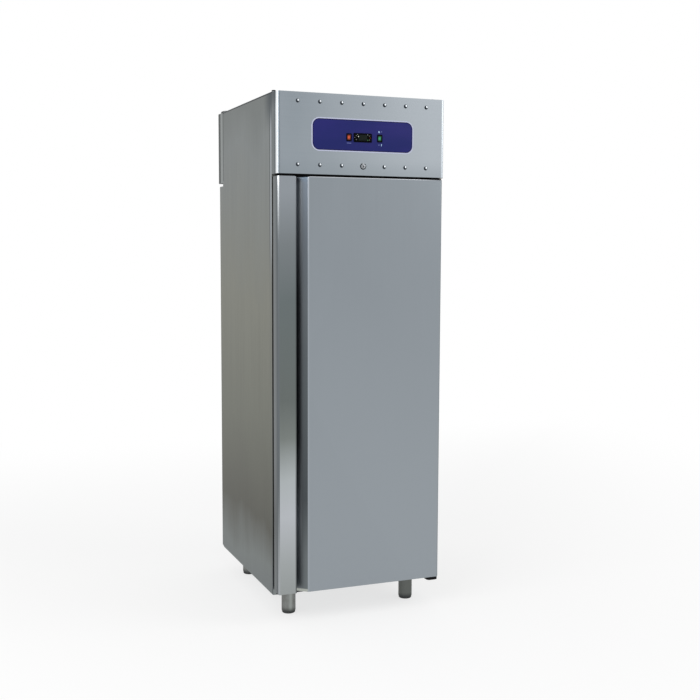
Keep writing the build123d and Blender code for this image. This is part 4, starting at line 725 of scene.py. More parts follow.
rubber_tones = shade(20, 20, 20), shade(46, 45, 44)
rubber_finish = mottled("rubber", 0.01, rubber_tones, (0.4, 0.8), (0.62, 0.2), Specular_IOR_Level=0.3)
mount_reach = 0.083
mount_outline = [(0.0, 0.0), (0.014, 0.0), (0.014, 0.004), (0.011, 0.006), (0.011, 0.008)]
mount_outline += [(0.0138, 0.010), (0.0138, 0.0165), (0.012, 0.018), (0.0, 0.018)]
form = bmesh.new()
for x in (pump_x - mount_reach, pump_x + mount_reach):
    for y in (pump_y - mount_reach, pump_y + mount_reach):
        add_turned(form, mount_outline, (x, y, unit_floor), sides=28)
new_piece(form, "compressor_grommets", rubber_finish, "cabinet", "compressor_mounts", slot="rubber_mount")

warm_fan_x, warm_fan_y, warm_fan_z, warm_fan_nose = -0.110, 0.151, 1.916, 0.136
add_fan("condenser_fan", (warm_fan_x, warm_fan_y, warm_fan_z), 0.105, 0.026, 0.024, 0.054)
add_motor("condenser_fan_motor", warm_fan_x, warm_fan_nose, warm_fan_z, 0.038, 0.052, unit_floor, 1)


# Copper work: brazed tubes that join the compressor, the condenser, the drier and the evaporator. The
# drier is a spun copper can between the liquid line and the thin capillary.
copper_tones = shade(204, 128, 92), shade(150, 92, 66)
copper_finish = mottled("copper", 0.04, copper_tones, (0.35, 0.75), (0.26, 0.2), detail=4.0, Metallic=1.0)
pump_top, port_reach, condenser_edge = 2.0, 0.025, 0.0515
drier_x, drier_y = 0.0795, 0.214
drier_low, drier_high = 1.869, 1.959
hole_y, coil_back = 0.310, 0.150
suction_x, capillary_x = 0.2285, 0.2145
suction_low, capillary_low, liquid_low = 1.5935, 1.6665, 1.819
suction_high, discharge_high, capillary_high = 2.034, 2.027, 1.999
discharge_route = [
    (pump_x - port_reach, pump_y, pump_top),
    (pump_x - port_reach, pump_y, discharge_high),
    (pump_x - port_reach, drier_y, discharge_high),
    (condenser_edge, drier_y, discharge_high),
]
liquid_route = [(condenser_edge, drier_y, liquid_low), (drier_x, drier_y, liquid_low)]
liquid_route += [(drier_x, drier_y, drier_low + 0.002)]
capillary_route = [
    (drier_x, drier_y, drier_high - 0.002),
    (drier_x, drier_y, capillary_high),
    (capillary_x, hole_y, capillary_high),
    (capillary_x, hole_y, capillary_low),
    (capillary_x, coil_back, capillary_low),
]
suction_route = [
    (suction_x, coil_back, suction_low),
    (suction_x, hole_y, suction_low),
    (suction_x, hole_y, suction_high),
    (pump_x + port_reach, pump_y, suction_high),
    (pump_x + port_reach, pump_y, pump_top),
]
form = bmesh.new()
add_run(form, discharge_route, 0.005, 0.024)
add_run(form, liquid_route, 0.004, 0.020)
add_run(form, capillary_route, 0.002, 0.018)
add_run(form, suction_route, 0.005, 0.024)
collar = [(0.0, -0.002), (0.0085, -0.002), (0.0085, 0.002), (0.0065, 0.005), (0.0, 0.005)]
for x in (pump_x - port_reach, pump_x + port_reach):
    add_turned(form, collar, (x, pump_y, pump_top), sides=20)
new_piece(form, "copper_pipes", copper_finish, "cabinet", "refrigerant_pipes", slot="copper")

drier_end = [(0.0, 0.0), (0.0050, 0.0), (0.0058, 0.004), (0.0092, 0.011), (0.0098, 0.014)]
drier_outline = [(radius, drier_low + rise) for radius, rise in drier_end]
drier_outline += [(radius, drier_high - rise) for radius, rise in reversed(drier_end)]
form = bmesh.new()
add_turned(form, drier_outline, (drier_x, drier_y, 0.0), sides=28)
new_piece(form, "drier_can", copper_finish, "cabinet", "filter_drier", slot="copper")


# Electrical box: a folded zinc-coated case on the tray, with a lid held by four screws and a plastic
# gland where the cable comes in.
box_finish = zinc_coated("box_zinc", shade(160, 165, 168), shade(184, 188, 190), roughness=0.36)
box_left, box_right, box_front, box_back = -0.315, -0.165, -0.311, -0.231
box_top, lid_lap, screw_inset = 1.919, 0.0008, 0.012
form = bmesh.new()
add_block(form, (box_left, box_front, unit_floor), (box_right, box_back, box_top - 0.014), 0.0012)
lid_low = (box_left - lid_lap, box_front - lid_lap, box_top - 0.016)
add_block(form, lid_low, (box_right + lid_lap, box_back + lid_lap, box_top), 0.0016, 3)
screw = [(0.0, 0.0012), (0.002, 0.0012), (0.0034, 0.0004), (0.0036, -0.0004)]
for x in (box_left + screw_inset, box_right - screw_inset):
    for y in (box_front + screw_inset, box_back - screw_inset):
        add_turned(form, screw, (x, y, box_top), sides=16)
new_piece(form, "electrical_case", box_finish, "cabinet", "electrical_box", slot="galvanised")
gland = [(0.0, 0.0118), (0.005, 0.0118), (0.0066, 0.010), (0.0074, 0.0052)]
gland += [(0.0088, 0.005), (0.0088, -0.0005)]
form = bmesh.new()
add_turned(form, gland, (box_right, -0.271, 1.814), Matrix.Rotation(math.radians(90), 4, "Y"), sides=24)
new_piece(form, "cable_gland", plastic_finish, "cabinet", slot="black_plastic")


# Covers: the louvred top sheet bent down at its front, and the rear one that hooks over it in a low
# hood. Each is held by domed bolts into the side panels' flanges.
cover_finish = steel("cover_steel", "X", shade(132, 139, 143), shade(152, 158, 162), roughness=0.36)
ride_finish(cover_finish, "top_cover")

rear_finish = steel("rear_cover_steel", "X", shade(132, 139, 143), shade(152, 158, 162), roughness=0.36)
back, height = rear_finish.axis("Y"), rear_finish.axis("Z")
end_face, brow_low = 0.3545, 2.1032
# Painted shade on the hood's end walls: a dark band towards their rear and a dark line along their top.
brow_shade = height.ramp(2.1035, 2.1050) * back.ramp(0.340, 0.362) + 0.35
end_tone = rear_finish.mix(back.ramp(0.399, 0.408), shade(152, 157, 156), shade(84, 88, 87))
end_tone = rear_finish.mix(brow_shade * (height > brow_low), end_tone, shade(16, 18, 18))
bright = rear_finish.noise((0.002, 0.002, 0.16)).ramp(0.3, 0.7)
face_tone = rear_finish.mix(bright, shade(134, 141, 145), shade(150, 156, 160))
end_wall = rear_finish.axis("X").size() > end_face
rear_finish.set(Base_Color=rear_finish.mix(end_wall, face_tone, end_tone))
form = bmesh.new()
form.from_mesh(nodes["rear_cover"].data)
hood_front, hood_back, hood_mid, hood_foot, hood_brow = 0.280, 0.425, 2.108, 0.020, 0.072
hood_drop, back_draw, back_seam, roof_level = 0.003, 0.030, 0.415, 2.1
for corner in form.verts:
    if corner.co.y < hood_front:
        corner.co.y += hood_brow if corner.co.z > hood_mid else hood_foot
    elif back_seam < corner.co.y < hood_back and corner.co.z > roof_level:
        corner.co.y -= back_draw
    if corner.co.z > hood_mid:
        corner.co.z -= hood_drop
new_piece(form, "rear_cover_sheet", rear_finish, "cabinet", "rear_cover", slot="cover_steel")

bolt_pitch, row_gap, high_row, neck = 0.091, 0.242, 2.066, 0.008
bolt_finish = Finish("bolt_steel", Metallic=1.0)
across = bolt_finish.axis("X").wrap(bolt_pitch / 2)
above = bolt_finish.axis("Z", high_row).wrap(row_gap / 2)
wear = bolt_finish.noise(0.003, detail=3.0)
# Each bolt's dome gets a painted highlight a little above its middle and painted shade on its left.
spot_x, spot_z = (across - 0.0008) / 0.0026, (above - 0.0024) / 0.0044
spot = spot_x * spot_x + spot_z * spot_z + (wear - 0.5) * 0.4
shaded_side_tone = bolt_finish.mix(across.ramp(0.001, 0.005), shade(44, 50, 56), shade(112, 118, 122))
bolt_tone = bolt_finish.mix(spot.ramp(1.25, 0.75), shaded_side_tone, shade(226, 231, 236))
bolt_finish.set(Base_Color=bolt_tone, Roughness=0.22 + wear * 0.12)
dark_tones = shade(22, 23, 25), shade(44, 46, 48)
dark_bolt_finish = mottled("cover_bolt_steel", 0.003, dark_tones, (0.3, 0.7), (0.34, 0.14), Metallic=1.0)


def add_bolts(name, finish, *places, node, turn=Matrix(), tall=()):
    """Domed bolts with a narrow rim and a square neck, and deep round heads at the tall places."""
    form = bmesh.new()
    dome = [(0.0, 0.0029), (0.0018, 0.0028), (0.0036, 0.0024), (0.0052, 0.0018), (0.0066, 0.0010)]
    dome += [(0.0070, 0.0007), (0.0078, 0.0007), (0.0080, 0.0003), (0.0080, 0.0)]
    deep = [(0.0, 0.0087), (0.0062, 0.0086), (0.0074, 0.0080), (0.0080, 0.0066), (0.0080, 0.0)]
    for place in places:
        add_turned(form, deep if place in tall else dome, place, turn, sides=32)
        shank = bmesh.ops.create_cube(form, size=1.0)["verts"]
        bmesh.ops.scale(form, vec=(0.005, 0.005, neck), verts=shank)
        bmesh.ops.translate(form, vec=(0, 0, -neck / 2), verts=shank)
        bmesh.ops.transform(form, matrix=Matrix.Translation(place) @ turn, verts=shank)
    new_piece(form, name, finish, "cabinet", node, slot="bolt_steel")


front_places = [(side * 0.341, -0.345, 2.104) for side in (-1, 1)]
back_places = [(side * 0.341, 0.357, 2.110) for side in (-1, 1)]
cover_places = front_places + back_places
add_bolts("cover_bolt_heads", dark_bolt_finish, *cover_places, node="cover_bolts", tall=front_places)


# Fascia: a stainless hood folded round the front of the compartment, brushed from side to side, with
# its upright corners rounded. It is bolted through its face to two zinc-coated rails.
def folded(finish, tone, fold_x, fold_y, fold_share, edge_tone, side_tone):
    """Paints a highlight along a brushed sheet's upright folds, and paints shade on the returns behind
    them.
    """
    depth = finish.axis("Y", fold_y)
    behind = finish.axis("X").size() > fold_x
    side = finish.mix(depth.ramp(0.0, 0.030), edge_tone, side_tone)
    fold_highlight = behind * (depth < 0.0) * fold_share
    return finish.layer(tone, (behind, side), (fold_highlight, shade(246, 250, 253)))


fascia_front, fascia_low, fascia_fold, fold_back, return_start = -0.434, 1.7883, 0.3526, -0.4110, -0.4150
fascia_finish = Finish("brushed_fascia", Metallic=1.0, Specular_Tint=(0.7, 0.7, 0.7))
streaks = brushed(fascia_finish, "X")
blotch = fascia_finish.noise((0.22, 0.22, 0.35), detail=3.0)
share = (streaks * 0.35 + blotch * 0.65).ramp(0.25, 0.75)
across, depth, height = fascia_finish.axis("X"), fascia_finish.axis("Y"), fascia_finish.axis("Z")
crease_shade = across.ramp(-0.3435, -0.3480) * across.ramp(-0.3518, -0.3500)
# Painted light on the fascia: lighter towards the right, darker along the bottom, a painted highlight at
# the right end and painted shade in the crease beside the left fold.
tone = fascia_finish.layer(
    fascia_finish.mix(share, shade(140, 149, 156), shade(149, 157, 164)),
    (across.ramp(-0.36, 0.30) * 0.85, shade(173, 180, 186)),
    (height.ramp(1.86, 1.79) * 0.35, shade(134, 143, 149)),
    (across.ramp(0.3400, 0.3440) * 0.35, shade(222, 228, 234)),
    (crease_shade * 0.85, shade(104, 111, 117)),
)
edge_tone, side_tone = shade(92, 100, 104), shade(120, 126, 128)
tone = folded(fascia_finish, tone, fascia_fold, fold_back, 1.0, edge_tone, side_tone)
# Painted shade at the top of the returns, and dark painted shade under the fascia's bottom edge.
corner_shade = (across.size() > fascia_fold) * (depth > return_start) * height.ramp(2.02, 2.10)
underside = height < fascia_low
tone = fascia_finish.layer(tone, (corner_shade * 0.7, shade(66, 74, 80)), (underside, shade(12, 14, 16)))
fascia_finish.set(Base_Color=tone, Roughness=0.34 + (blotch - 0.5) * 0.08 + (streaks - 0.5) * 0.12)
ride_finish(fascia_finish, "fascia_panel")

bolt_places = [(bolt_pitch * step, fascia_front, high_row) for step in range(-3, 4)]
bolt_places += [(bolt_pitch * step, fascia_front, high_row - row_gap) for step in (-3, -2, -1, 1, 2, 3)]
add_bolts("fascia_bolt_heads", bolt_finish, *bolt_places, node="fascia_bolts", turn=upright)


# Control label: a deep blue polyester film with rounded corners and a pale printed edge. It carries
# only plain marks that show which way each switch works.
def patch(finish, x, z, half_x, half_z):
    """1 inside a small upright rectangle, and 0 outside it."""
    return (finish.axis("X", x).size() < half_x) * (finish.axis("Z", z).size() < half_z)


def away_from(finish, x, z):
    """How far the point lies from a spot on an upright face, in metres."""
    return finish.axis("X", x).reach(finish.axis("Z", z))


def flat_faces(form, letter, level):
    """The faces of a form that lie flat at a level along one axis."""
    side = "XYZ".index(letter)
    return [f for f in form.faces if all(abs(v.co[side] - level) < 0.00002 for v in f.verts)]


def draw_out(form, faces, step):
    """Extrudes faces of a form by a step, and gives back all that this adds."""
    made = bmesh.ops.extrude_face_region(form, geom=faces)["geom"]
    moved = [item for item in made if isinstance(item, bmesh.types.BMVert)]
    bmesh.ops.translate(form, vec=step, verts=moved)
    return made


def add_bezel(form, x, z, width, height, back, front, corner, edge, segments=4):
    """A flat moulding with rounded corners, whose front edges are rounded over."""
    half_x, half_z = width / 2, height / 2
    places = [(x - half_x, back, z - half_z), (x + half_x, back, z - half_z)]
    places += [(x + half_x, back, z + half_z), (x - half_x, back, z + half_z)]
    corners = [form.verts.new(place) for place in places]
    form.faces.new(corners)
    rounded(form, corners, corner, segments, "VERTICES")
    face = [f for f in flat_faces(form, "Y", back) if abs(f.calc_center_median().x - x) < width / 4]
    made = draw_out(form, face, (0, front - back, 0))
    cap = [item for item in made if isinstance(item, bmesh.types.BMFace)]
    rounded(form, list({side for top in cap for side in top.edges}), edge, 3)


label_front, label_mid, label_half_x, label_half_z, label_corner = -0.4345, 1.943, 0.2168, 0.0645, 0.032
green_x, red_x, switch_z = 0.070, -0.061, 1.935
label_finish = Finish("label_film", Specular_IOR_Level=0.12)
past_x = (label_finish.axis("X").size() - (label_half_x - label_corner)).most(0.0)
past_z = (label_finish.axis("Z", label_mid).size() - (label_half_z - label_corner)).most(0.0)
reach = past_x.reach(past_z)
film = label_finish.noise((0.2, 0.2, 0.08))
marks = away_from(label_finish, green_x - 0.003, switch_z + 0.0250).within(0.0016, 0.0036)
marks = marks + patch(label_finish, green_x + 0.0075, switch_z - 0.0260, 0.0013, 0.0040)
soft = patch(label_finish, green_x + 0.008, switch_z + 0.0265, 0.0018, 0.0018)
soft = soft + patch(label_finish, green_x - 0.003, switch_z - 0.0255, 0.0034, 0.0014)
soft = soft + patch(label_finish, red_x, switch_z - 0.0225, 0.0095, 0.0012)
label_finish.set(
    Base_Color=label_finish.layer(
        label_finish.mix(film.ramp(0.3, 0.7), shade(30, 36, 96), shade(38, 38, 104)),
        (reach > label_corner - 0.0078, shade(24, 22, 70)),
        (reach > label_corner - 0.0042, shade(186, 190, 212)),
        (marks.least(1.0) * 0.95, shade(176, 208, 240)),
        (soft.least(1.0) * 0.6, shade(130, 140, 196)),
    ),
    Roughness=0.40 + (film - 0.5) * 0.1,
    Normal=label_finish.bump(label_finish.noise(0.0010), 0.00003),
)
form = bmesh.new()
label_size = 2 * label_half_x, 2 * label_half_z
add_bezel(form, 0.0, label_mid, *label_size, fascia_front, label_front, label_corner, 0.0002, 10)
new_piece(form, "label_sheet", label_finish, "cabinet", "control_label", slot="label_film")


# Controller: a black moulded bezel snapped into the fascia, with a smoked window over its display and
# four keys. Small lamps beside the keys show what is running.
def moulded(name, roughness, lamps=()):
    """Fine-grained black plastic, with a small round lamp at each (x, z, radius, colour) given."""
    finish = Finish(name, Specular_IOR_Level=0.02)
    grain = finish.noise(0.0006)
    tone = finish.mix(grain, shade(4, 4, 5), shade(10, 10, 11))
    lit = [(away_from(finish, x, z) < radius, colour) for x, z, radius, colour in lamps]
    finish.set(Base_Color=finish.layer(tone, *lit), Normal=finish.bump(grain, 0.00005))
    finish.set(Roughness=roughness + (grain - 0.5) * 0.2)
    return finish


def sink(form, letter, level, x, other, step=None):
    """Cuts a rectangle out of a form's flat face at a level, and sinks it by a step or leaves it open."""
    side = {"Y": 2, "Z": 1}[letter]
    for axis, places in ((0, x), (side, other)):
        for place in places:
            flat = flat_faces(form, letter, level)
            geometry = flat + list({edge for face in flat for edge in face.edges})
            geometry += list({corner for face in flat for corner in face.verts})
            point, direction = Vector(), Vector()
            point[axis], direction[axis] = place, 1.0
            bmesh.ops.bisect_plane(form, geom=geometry, plane_co=point, plane_no=direction)
    middles = [(face, face.calc_center_median()) for face in flat_faces(form, letter, level)]
    inside = [face for face, m in middles if x[0] < m.x < x[1] and other[0] < m[side] < other[1]]
    if step:
        draw_out(form, inside, step)
    bmesh.ops.delete(form, geom=inside, context="FACES")


case_x, case_z, case_front = -0.003, 1.935, label_front - 0.0028
case_lamps = [
    (case_x - 0.0188, 1.9392, 0.0021, shade(240, 240, 232)),
    (case_x - 0.0226, 1.9466, 0.0016, shade(150, 152, 140)),
    (case_x - 0.0345, 1.9350, 0.0014, shade(120, 118, 128)),
    (case_x - 0.0251, 1.9276, 0.0017, shade(150, 160, 146)),
    (case_x + 0.0205, 1.9468, 0.0015, shade(150, 156, 150)),
    (case_x + 0.0310, 1.9355, 0.0016, shade(126, 62, 14)),
    (case_x + 0.0215, 1.9265, 0.0016, shade(104, 176, 96)),
]
case_finish = moulded("controller_plastic", 0.46, case_lamps)
key_places = [(case_x + side * 0.028, case_z + rise * 0.007) for rise in (1, -1) for side in (-1, 1)]
key_half_x, key_half_z, key_hole_x, key_hole_z = 0.0055, 0.0040, 0.0058, 0.0043
form = bmesh.new()
add_bezel(form, case_x, case_z, 0.077, 0.035, label_front, case_front, 0.0035, 0.0009)
sink(form, "Y", case_front, (case_x - 0.018, case_x + 0.018), (1.924, 1.946), (0, 0.0012, 0))
for x, z in key_places:
    key_hole = (x - key_hole_x, x + key_hole_x), (z - key_hole_z, z + key_hole_z)
    sink(form, "Y", case_front, *key_hole, (0, 0.0026, 0))
add_block(form, (case_x - 0.0355, label_front, 1.9205), (case_x + 0.0355, -0.3745, 1.9495), 0.001)
new_piece(form, "controller_bezel", case_finish, "cabinet", "controller_case", slot="black_plastic")

window_tones = shade(20, 25, 25), shade(28, 34, 29)
window_finish = mottled(
    "window_glass",
    (0.02, 0.02, 0.014),
    window_tones,
    (0.3, 0.7),
    (0.12, 0.08),
    detail=2.0,
    Specular_IOR_Level=0.06,
)
ride_finish(window_finish, "controller_window")

key_finish = Finish("key_plastic", Specular_IOR_Level=0.04)
grain = key_finish.noise(0.0008)
tone = key_finish.mix(grain, shade(9, 9, 10), shade(16, 16, 18))
for number, (x, z) in enumerate(key_places):
    mid = z + (0.0005 if number < 2 else -0.0005)
    mark = patch(key_finish, x, mid, 0.0018, 0.0004) + patch(key_finish, x, mid, 0.0004, 0.0018)
    tone = key_finish.mix(mark.least(1.0) * 0.8, tone, shade(150, 152, 150))
key_finish.set(Base_Color=tone, Roughness=0.42 + grain * 0.15)
for number, (x, z) in enumerate(key_places, start=1):
    form = bmesh.new()
    key_low = (x - key_half_x, case_front - 0.0007, z - key_half_z)
    add_block(form, key_low, (x + key_half_x, case_front + 0.0017, z + key_half_z), 0.0006)
    name = f"controller_key_{number}"
    new_piece(form, name + "_cap", key_finish, name, name, slot="key_plastic")


# Switches: rockers lit from inside, one red and one green, each in a black moulded frame that snaps
# into the fascia. Fine ribs across each half give the finger a grip.
switch_finish = moulded("switch_plastic", 0.44)
switch_front, switch_back = label_front - 0.0020, -0.4127
hole_x, hole_z, sleeve_x, sleeve_z = 0.0079, 0.0116, 0.0095, 0.0130
form = bmesh.new()
for x in (red_x, green_x):
    add_bezel(form, x, switch_z, 0.022, 0.030, label_front, switch_front, 0.0016, 0.0007)
    opening = (x - hole_x, x + hole_x), (switch_z - hole_z, switch_z + hole_z)
    sink(form, "Y", switch_front, *opening, (0, 0.0145, 0))
    for low_x, high_x in ((-sleeve_x, -0.0080), (0.0080, sleeve_x)):
        wall_low = (x + low_x, label_front, switch_z - sleeve_z)
        add_block(form, wall_low, (x + high_x, switch_back, switch_z + sleeve_z), 0.0003)
    for low_z, high_z in ((-sleeve_z, -0.0117), (0.0117, sleeve_z)):
        wall_low = (x - sleeve_x, label_front, switch_z + low_z)
        add_block(form, wall_low, (x + sleeve_x, switch_back, switch_z + high_z), 0.0003)
new_piece(form, "switch_frames", switch_finish, "cabinet", "switch_housings", slot="black_plastic")


def add_rocker(colour, x, dark, light, glow):
    """A rocker with a shallow valley across its middle, tipped by eight degrees, on its hidden pivot."""
    name = colour + "_rocker"
    finish = Finish(name + "_lens", Specular_IOR_Level=0.2, Emission_Strength=0.06)
    across = finish.axis("X", x) / 0.0075
    up = finish.axis("Z", switch_z) / 0.0112
    lit = up.size().ramp(0.95, 0.10) * (across + 0.1).size().ramp(1.25, 0.10)
    ribs = (up * 6.0).ripple()
    finish.set(
        Base_Color=finish.mix(lit, dark, light),
        Emission_Color=finish.mix(lit, (0.0, 0.0, 0.0), glow),
        Roughness=0.22 + ribs * 0.1,
        Normal=finish.bump(ribs, 0.0002),
    )
    form = bmesh.new()
    half_width, tip = 0.0073, math.radians(8)
    outline = [(-0.0031, -0.0108), (-0.0020, -0.0052), (-0.0014, 0.0), (-0.0020, 0.0052), (-0.0031, 0.0108)]
    outline += [(0.0020, 0.0110), (0.0080, 0.0078), (0.0080, -0.0078), (0.0020, -0.0110)]
    face = form.faces.new([form.verts.new((x - half_width, y, z)) for y, z in outline])
    draw_out(form, [face], (2 * half_width, 0, 0))
    front = [edge for edge in form.edges if all(corner.co.y < 0.001 for corner in edge.verts)]
    rounded(form, front, 0.0007, 3, clamp=True)
    tipped = Matrix.Translation((0, -0.4335, switch_z)) @ Matrix.Rotation(tip, 4, "X")
    bmesh.ops.transform(form, matrix=tipped, verts=form.verts)
    new_piece(form, name + "_cap", finish, name, name, slot="rocker_" + colour)


add_rocker("red", red_x, shade(58, 4, 2), shade(206, 90, 58), shade(255, 92, 40))
add_rocker("green", green_x, shade(0, 22, 14), shade(66, 152, 108), shade(70, 220, 140))


# Lock: a plated barrel with a rounded flange, held behind the fascia by a nut, and the core that turns
# in it. The core's cam drops into the slot in the door's top.
lock_z, cam_front, cam_back, cam_half = 1.824, -0.4167, -0.4137, 0.007
lock_finish = Finish("lock_metal", Metallic=1.0)
wear = lock_finish.noise(0.004, detail=3.0)
# Painted shade in the shallow groove of the barrel's flange, all round but its top.
lean = lock_finish.axis("X").size() - lock_finish.axis("Z", lock_z)
lock_ring_shade = away_from(lock_finish, 0.0, lock_z).ramp(0.0084, 0.0096) * lean.ramp(-0.010, -0.002)
lock_ring_shade = lock_ring_shade * (lock_finish.axis("Y") < fascia_front)
lock_tone = lock_finish.mix(wear.ramp(0.3, 0.7), shade(150, 154, 158), shade(190, 194, 198))
lock_tone = lock_finish.mix(lock_ring_shade, lock_tone, shade(34, 38, 42))
lock_finish.set(Base_Color=lock_tone, Roughness=0.20 + wear * 0.12)
barrel = [(0.0066, 0.0020), (0.0072, 0.0025), (0.0084, 0.0024), (0.0096, 0.0016), (0.0112, 0.0018)]
barrel += [(0.0124, 0.0014), (0.0128, 0.0002), (0.0128, 0.0), (0.0090, 0.0), (0.0090, -0.0170)]
barrel += [(0.0066, -0.0170), (0.0066, 0.0020)]
form = bmesh.new()
add_turned(form, barrel, (0.0, fascia_front, lock_z), upright, sides=48)
nut = {"segments": 6, "radius1": 0.0127, "radius2": 0.0127, "depth": 0.004}
nut_place = Matrix.Translation((0.0, -0.4293, lock_z)) @ upright
bmesh.ops.create_cone(form, cap_ends=True, matrix=nut_place, **nut)
new_piece(form, "lock_ring", lock_finish, "cabinet", "lock_barrel", slot="lock_metal")

core_finish = Finish("lock_core_metal", Metallic=1.0)
wear = core_finish.noise(0.004, detail=3.0)
# The keyway is not cut: painted shade marks the slot on the core's face.
keyhole = patch(core_finish, 0.0, lock_z, 0.0020, 0.0030) * (core_finish.axis("Y") < -0.4300)
core_tone = core_finish.mix(wear.ramp(0.3, 0.7), shade(136, 140, 144), shade(176, 180, 184))
core_tone = core_finish.mix(keyhole, core_tone, shade(14, 14, 16))
core_finish.set(Base_Color=core_tone, Roughness=0.24 + wear * 0.12)
core = [(0.0, 0.0035), (0.0050, 0.0035), (0.0060, 0.0030), (0.0063, 0.0022), (0.0063, -0.0173)]
core += [(0.0, -0.0173)]
form = bmesh.new()
add_turned(form, core, (0.0, fascia_front, lock_z), upright, sides=40)
add_block(form, (-0.050, cam_front, lock_z - cam_half), (cam_half, cam_back, lock_z + cam_half), 0.0008)
add_block(form, (-0.0011, -0.4378, lock_z - 0.0040), (0.0011, -0.4376, lock_z + 0.0040))
new_piece(form, "lock_plug", core_finish, "lock_core", "lock_core", slot="lock_metal")


# Door: one stainless sheet folded into a tray, with a handle bar, finger groove and slope pressed down
# its left edge. Foam fills it, and a stainless liner closes its back.
door_low, door_high = 0.124, 1.780
door_left, door_right, door_front, door_back = -0.3545, 0.350, -0.434, -0.376
bar_right, groove_left, groove_right, panel_left = -0.2735, -0.291, -0.271, -0.229
groove_back, corner_lift, edge_round = -0.398, 0.009, 0.0025


def door_form(margin):
    """The door's body as a solid, drawn in by a margin, with the ends of the groove's rims rounded."""
    form = bmesh.new()
    outline = {
        (door_left, door_back): 0.0,
        (door_left, door_front): 0.009,
        (bar_right, door_front): 0.010,
        (groove_left, groove_back): 0.004,
        (groove_right, groove_back): 0.004,
        (panel_left, door_front): 0.006,
        (door_right, door_front): 0.009,
        (door_right, door_back): 0.0,
    }
    corners = [form.verts.new((x, y, door_low + margin)) for x, y in outline]
    form.faces.new(corners)
    for corner, radius in zip(corners, outline.values()):
        if radius:
            rounded(form, [corner], radius, 6, "VERTICES")
    form.faces.ensure_lookup_table()
    if margin:
        inset = {"thickness": margin, "use_even_offset": True, "use_boundary": True}
        drawn = bmesh.ops.inset_region(form, faces=form.faces[:], **inset)
        bmesh.ops.delete(form, geom=drawn["faces"], context="FACES")
    draw_out(form, form.faces[:], (0, 0, door_high - door_low - 2 * margin))
    ends = [
        edge
        for edge in form.edges
        if abs(edge.verts[0].co.z - edge.verts[1].co.z) < 0.0001
        and min(corner.co.y for corner in edge.verts) < door_back - 0.0015
    ]
    rounded(form, ends, edge_round, 3)
    top = door_high - margin
    for drop in (corner_lift, 0.0070, 0.0052, 0.0038):
        geometry = form.verts[:] + form.edges[:] + form.faces[:]
        bmesh.ops.bisect_plane(form, geom=geometry, plane_co=(0, 0, top - drop), plane_no=(0, 0, 1))
    for corner in form.verts:
        rise = min(max(corner.co.z - (top - corner_lift), 0.0), corner_lift)
        pull = corner_lift - math.sqrt(corner_lift**2 - rise**2)
        pull *= min(max((groove_back - corner.co.y) / (groove_back - door_front), 0.0), 1.0)
        if groove_left - 0.002 < corner.co.x < bar_right + 0.001:
            corner.co.x -= pull
        elif bar_right + 0.001 < corner.co.x < panel_left + 0.010:
            corner.co.x += pull
    return form


# Tones by height for the bar's face and the groove's slope: their light and dark bands are painted
# reflection.
bar_tones = [
    (0.00, shade(150, 156, 155)),
    (0.06, shade(154, 159, 158)),
    (0.14, shade(166, 171, 172)),
    (0.25, shade(186, 190, 195)),
    (0.33, shade(176, 182, 184)),
    (0.42, shade(124, 130, 127)),
    (0.50, shade(106, 112, 110)),
    (0.72, shade(106, 114, 115)),
    (0.84, shade(122, 128, 131)),
    (0.95, shade(144, 150, 156)),
]
slope_tones = [
    (0.00, shade(110, 116, 118)),
    (0.15, shade(108, 114, 116)),
    (0.28, shade(76, 81, 84)),
    (0.50, shade(87, 93, 96)),
    (0.70, shade(92, 98, 102)),
    (0.84, shade(84, 90, 96)),
    (0.96, shade(82, 89, 97)),
]
skin_finish = Finish("brushed_door", Metallic=1.0, Specular_Tint=(0.7, 0.7, 0.7))
streaks = brushed(skin_finish, "Z", depth=0.000008)
blotch = skin_finish.noise((0.30, 0.30, 0.50), detail=3.0)
share = (streaks * 0.5 + blotch * 0.5).ramp(0.25, 0.75)
across, depth, height = skin_finish.axis("X"), skin_finish.axis("Y", door_front), skin_finish.axis("Z")
level = height / 1.8 + (blotch - 0.5) * 0.04

bar_edge, lip_start = bar_right + 0.0005, bar_right - 0.0135
rim_start, rim_end = panel_left - 0.0022, panel_left + 0.0030
right_edge, fold_x, fold_y, slope_high, slope_low = 0.3445, 0.3485, -0.4260, -0.2465, -0.2565
# Painted light on the door's front: painted shade beside the bar's right edge and in a crease low on it, a
# painted highlight along the panel's left edge and along its top, fading to shade at the right, and painted
# shade along the right edge. The whole front is lighter towards the bottom.
lip_shade = across.within(lip_start, bar_edge) * across.ramp(lip_start, bar_right - 0.0010)
lip_crease_shade = across.within(bar_right - 0.0098, bar_right - 0.0056) * height.ramp(0.75, 0.50)
rim = across.within(rim_start, rim_end) * (depth < 0.003) * (height.ramp(1.40, 1.74) * 0.5 + 0.3)
top_rim_highlight = (height > door_high - 0.0030) * (across > panel_left)
rim_tone = skin_finish.mix(across.ramp(0.230, 0.345), shade(206, 210, 216), shade(104, 108, 112))
tone = skin_finish.layer(
    skin_finish.mix(share, shade(138, 145, 151), shade(142, 149, 155)),
    (height.ramp(1.75, 0.15), shade(151, 158, 164)),
    (across < bar_edge, skin_finish.graded(level, bar_tones)),
    (lip_shade * 0.8, shade(52, 54, 56)),
    (lip_crease_shade * 0.6, shade(84, 88, 90)),
    (rim, shade(172, 178, 186)),
    (top_rim_highlight * 0.9, rim_tone),
    ((across > right_edge) * 0.55, shade(108, 114, 118)),
)

# A painted highlight along the bar's left fold, strongest near the top and the foot, and a band of painted
# shade low down on the door's side.
fold_light = height.ramp(1.72, 1.785) * 0.5 + height.ramp(1.50, 1.76) * 0.45
fold_light = fold_light + height.ramp(0.62, 0.12) * 0.35
fold_share = (fold_light * 0.85 + 0.03) * (across < 0.0)
side_dip_shade = (1 - skin_finish.axis("Z", 0.42).size() / 0.24).most(0.0)
side_tone = skin_finish.mix(side_dip_shade * 0.6, shade(124, 129, 131), shade(84, 88, 90))
tone = folded(skin_finish, tone, fold_x, fold_y, fold_share, shade(96, 102, 106), side_tone)
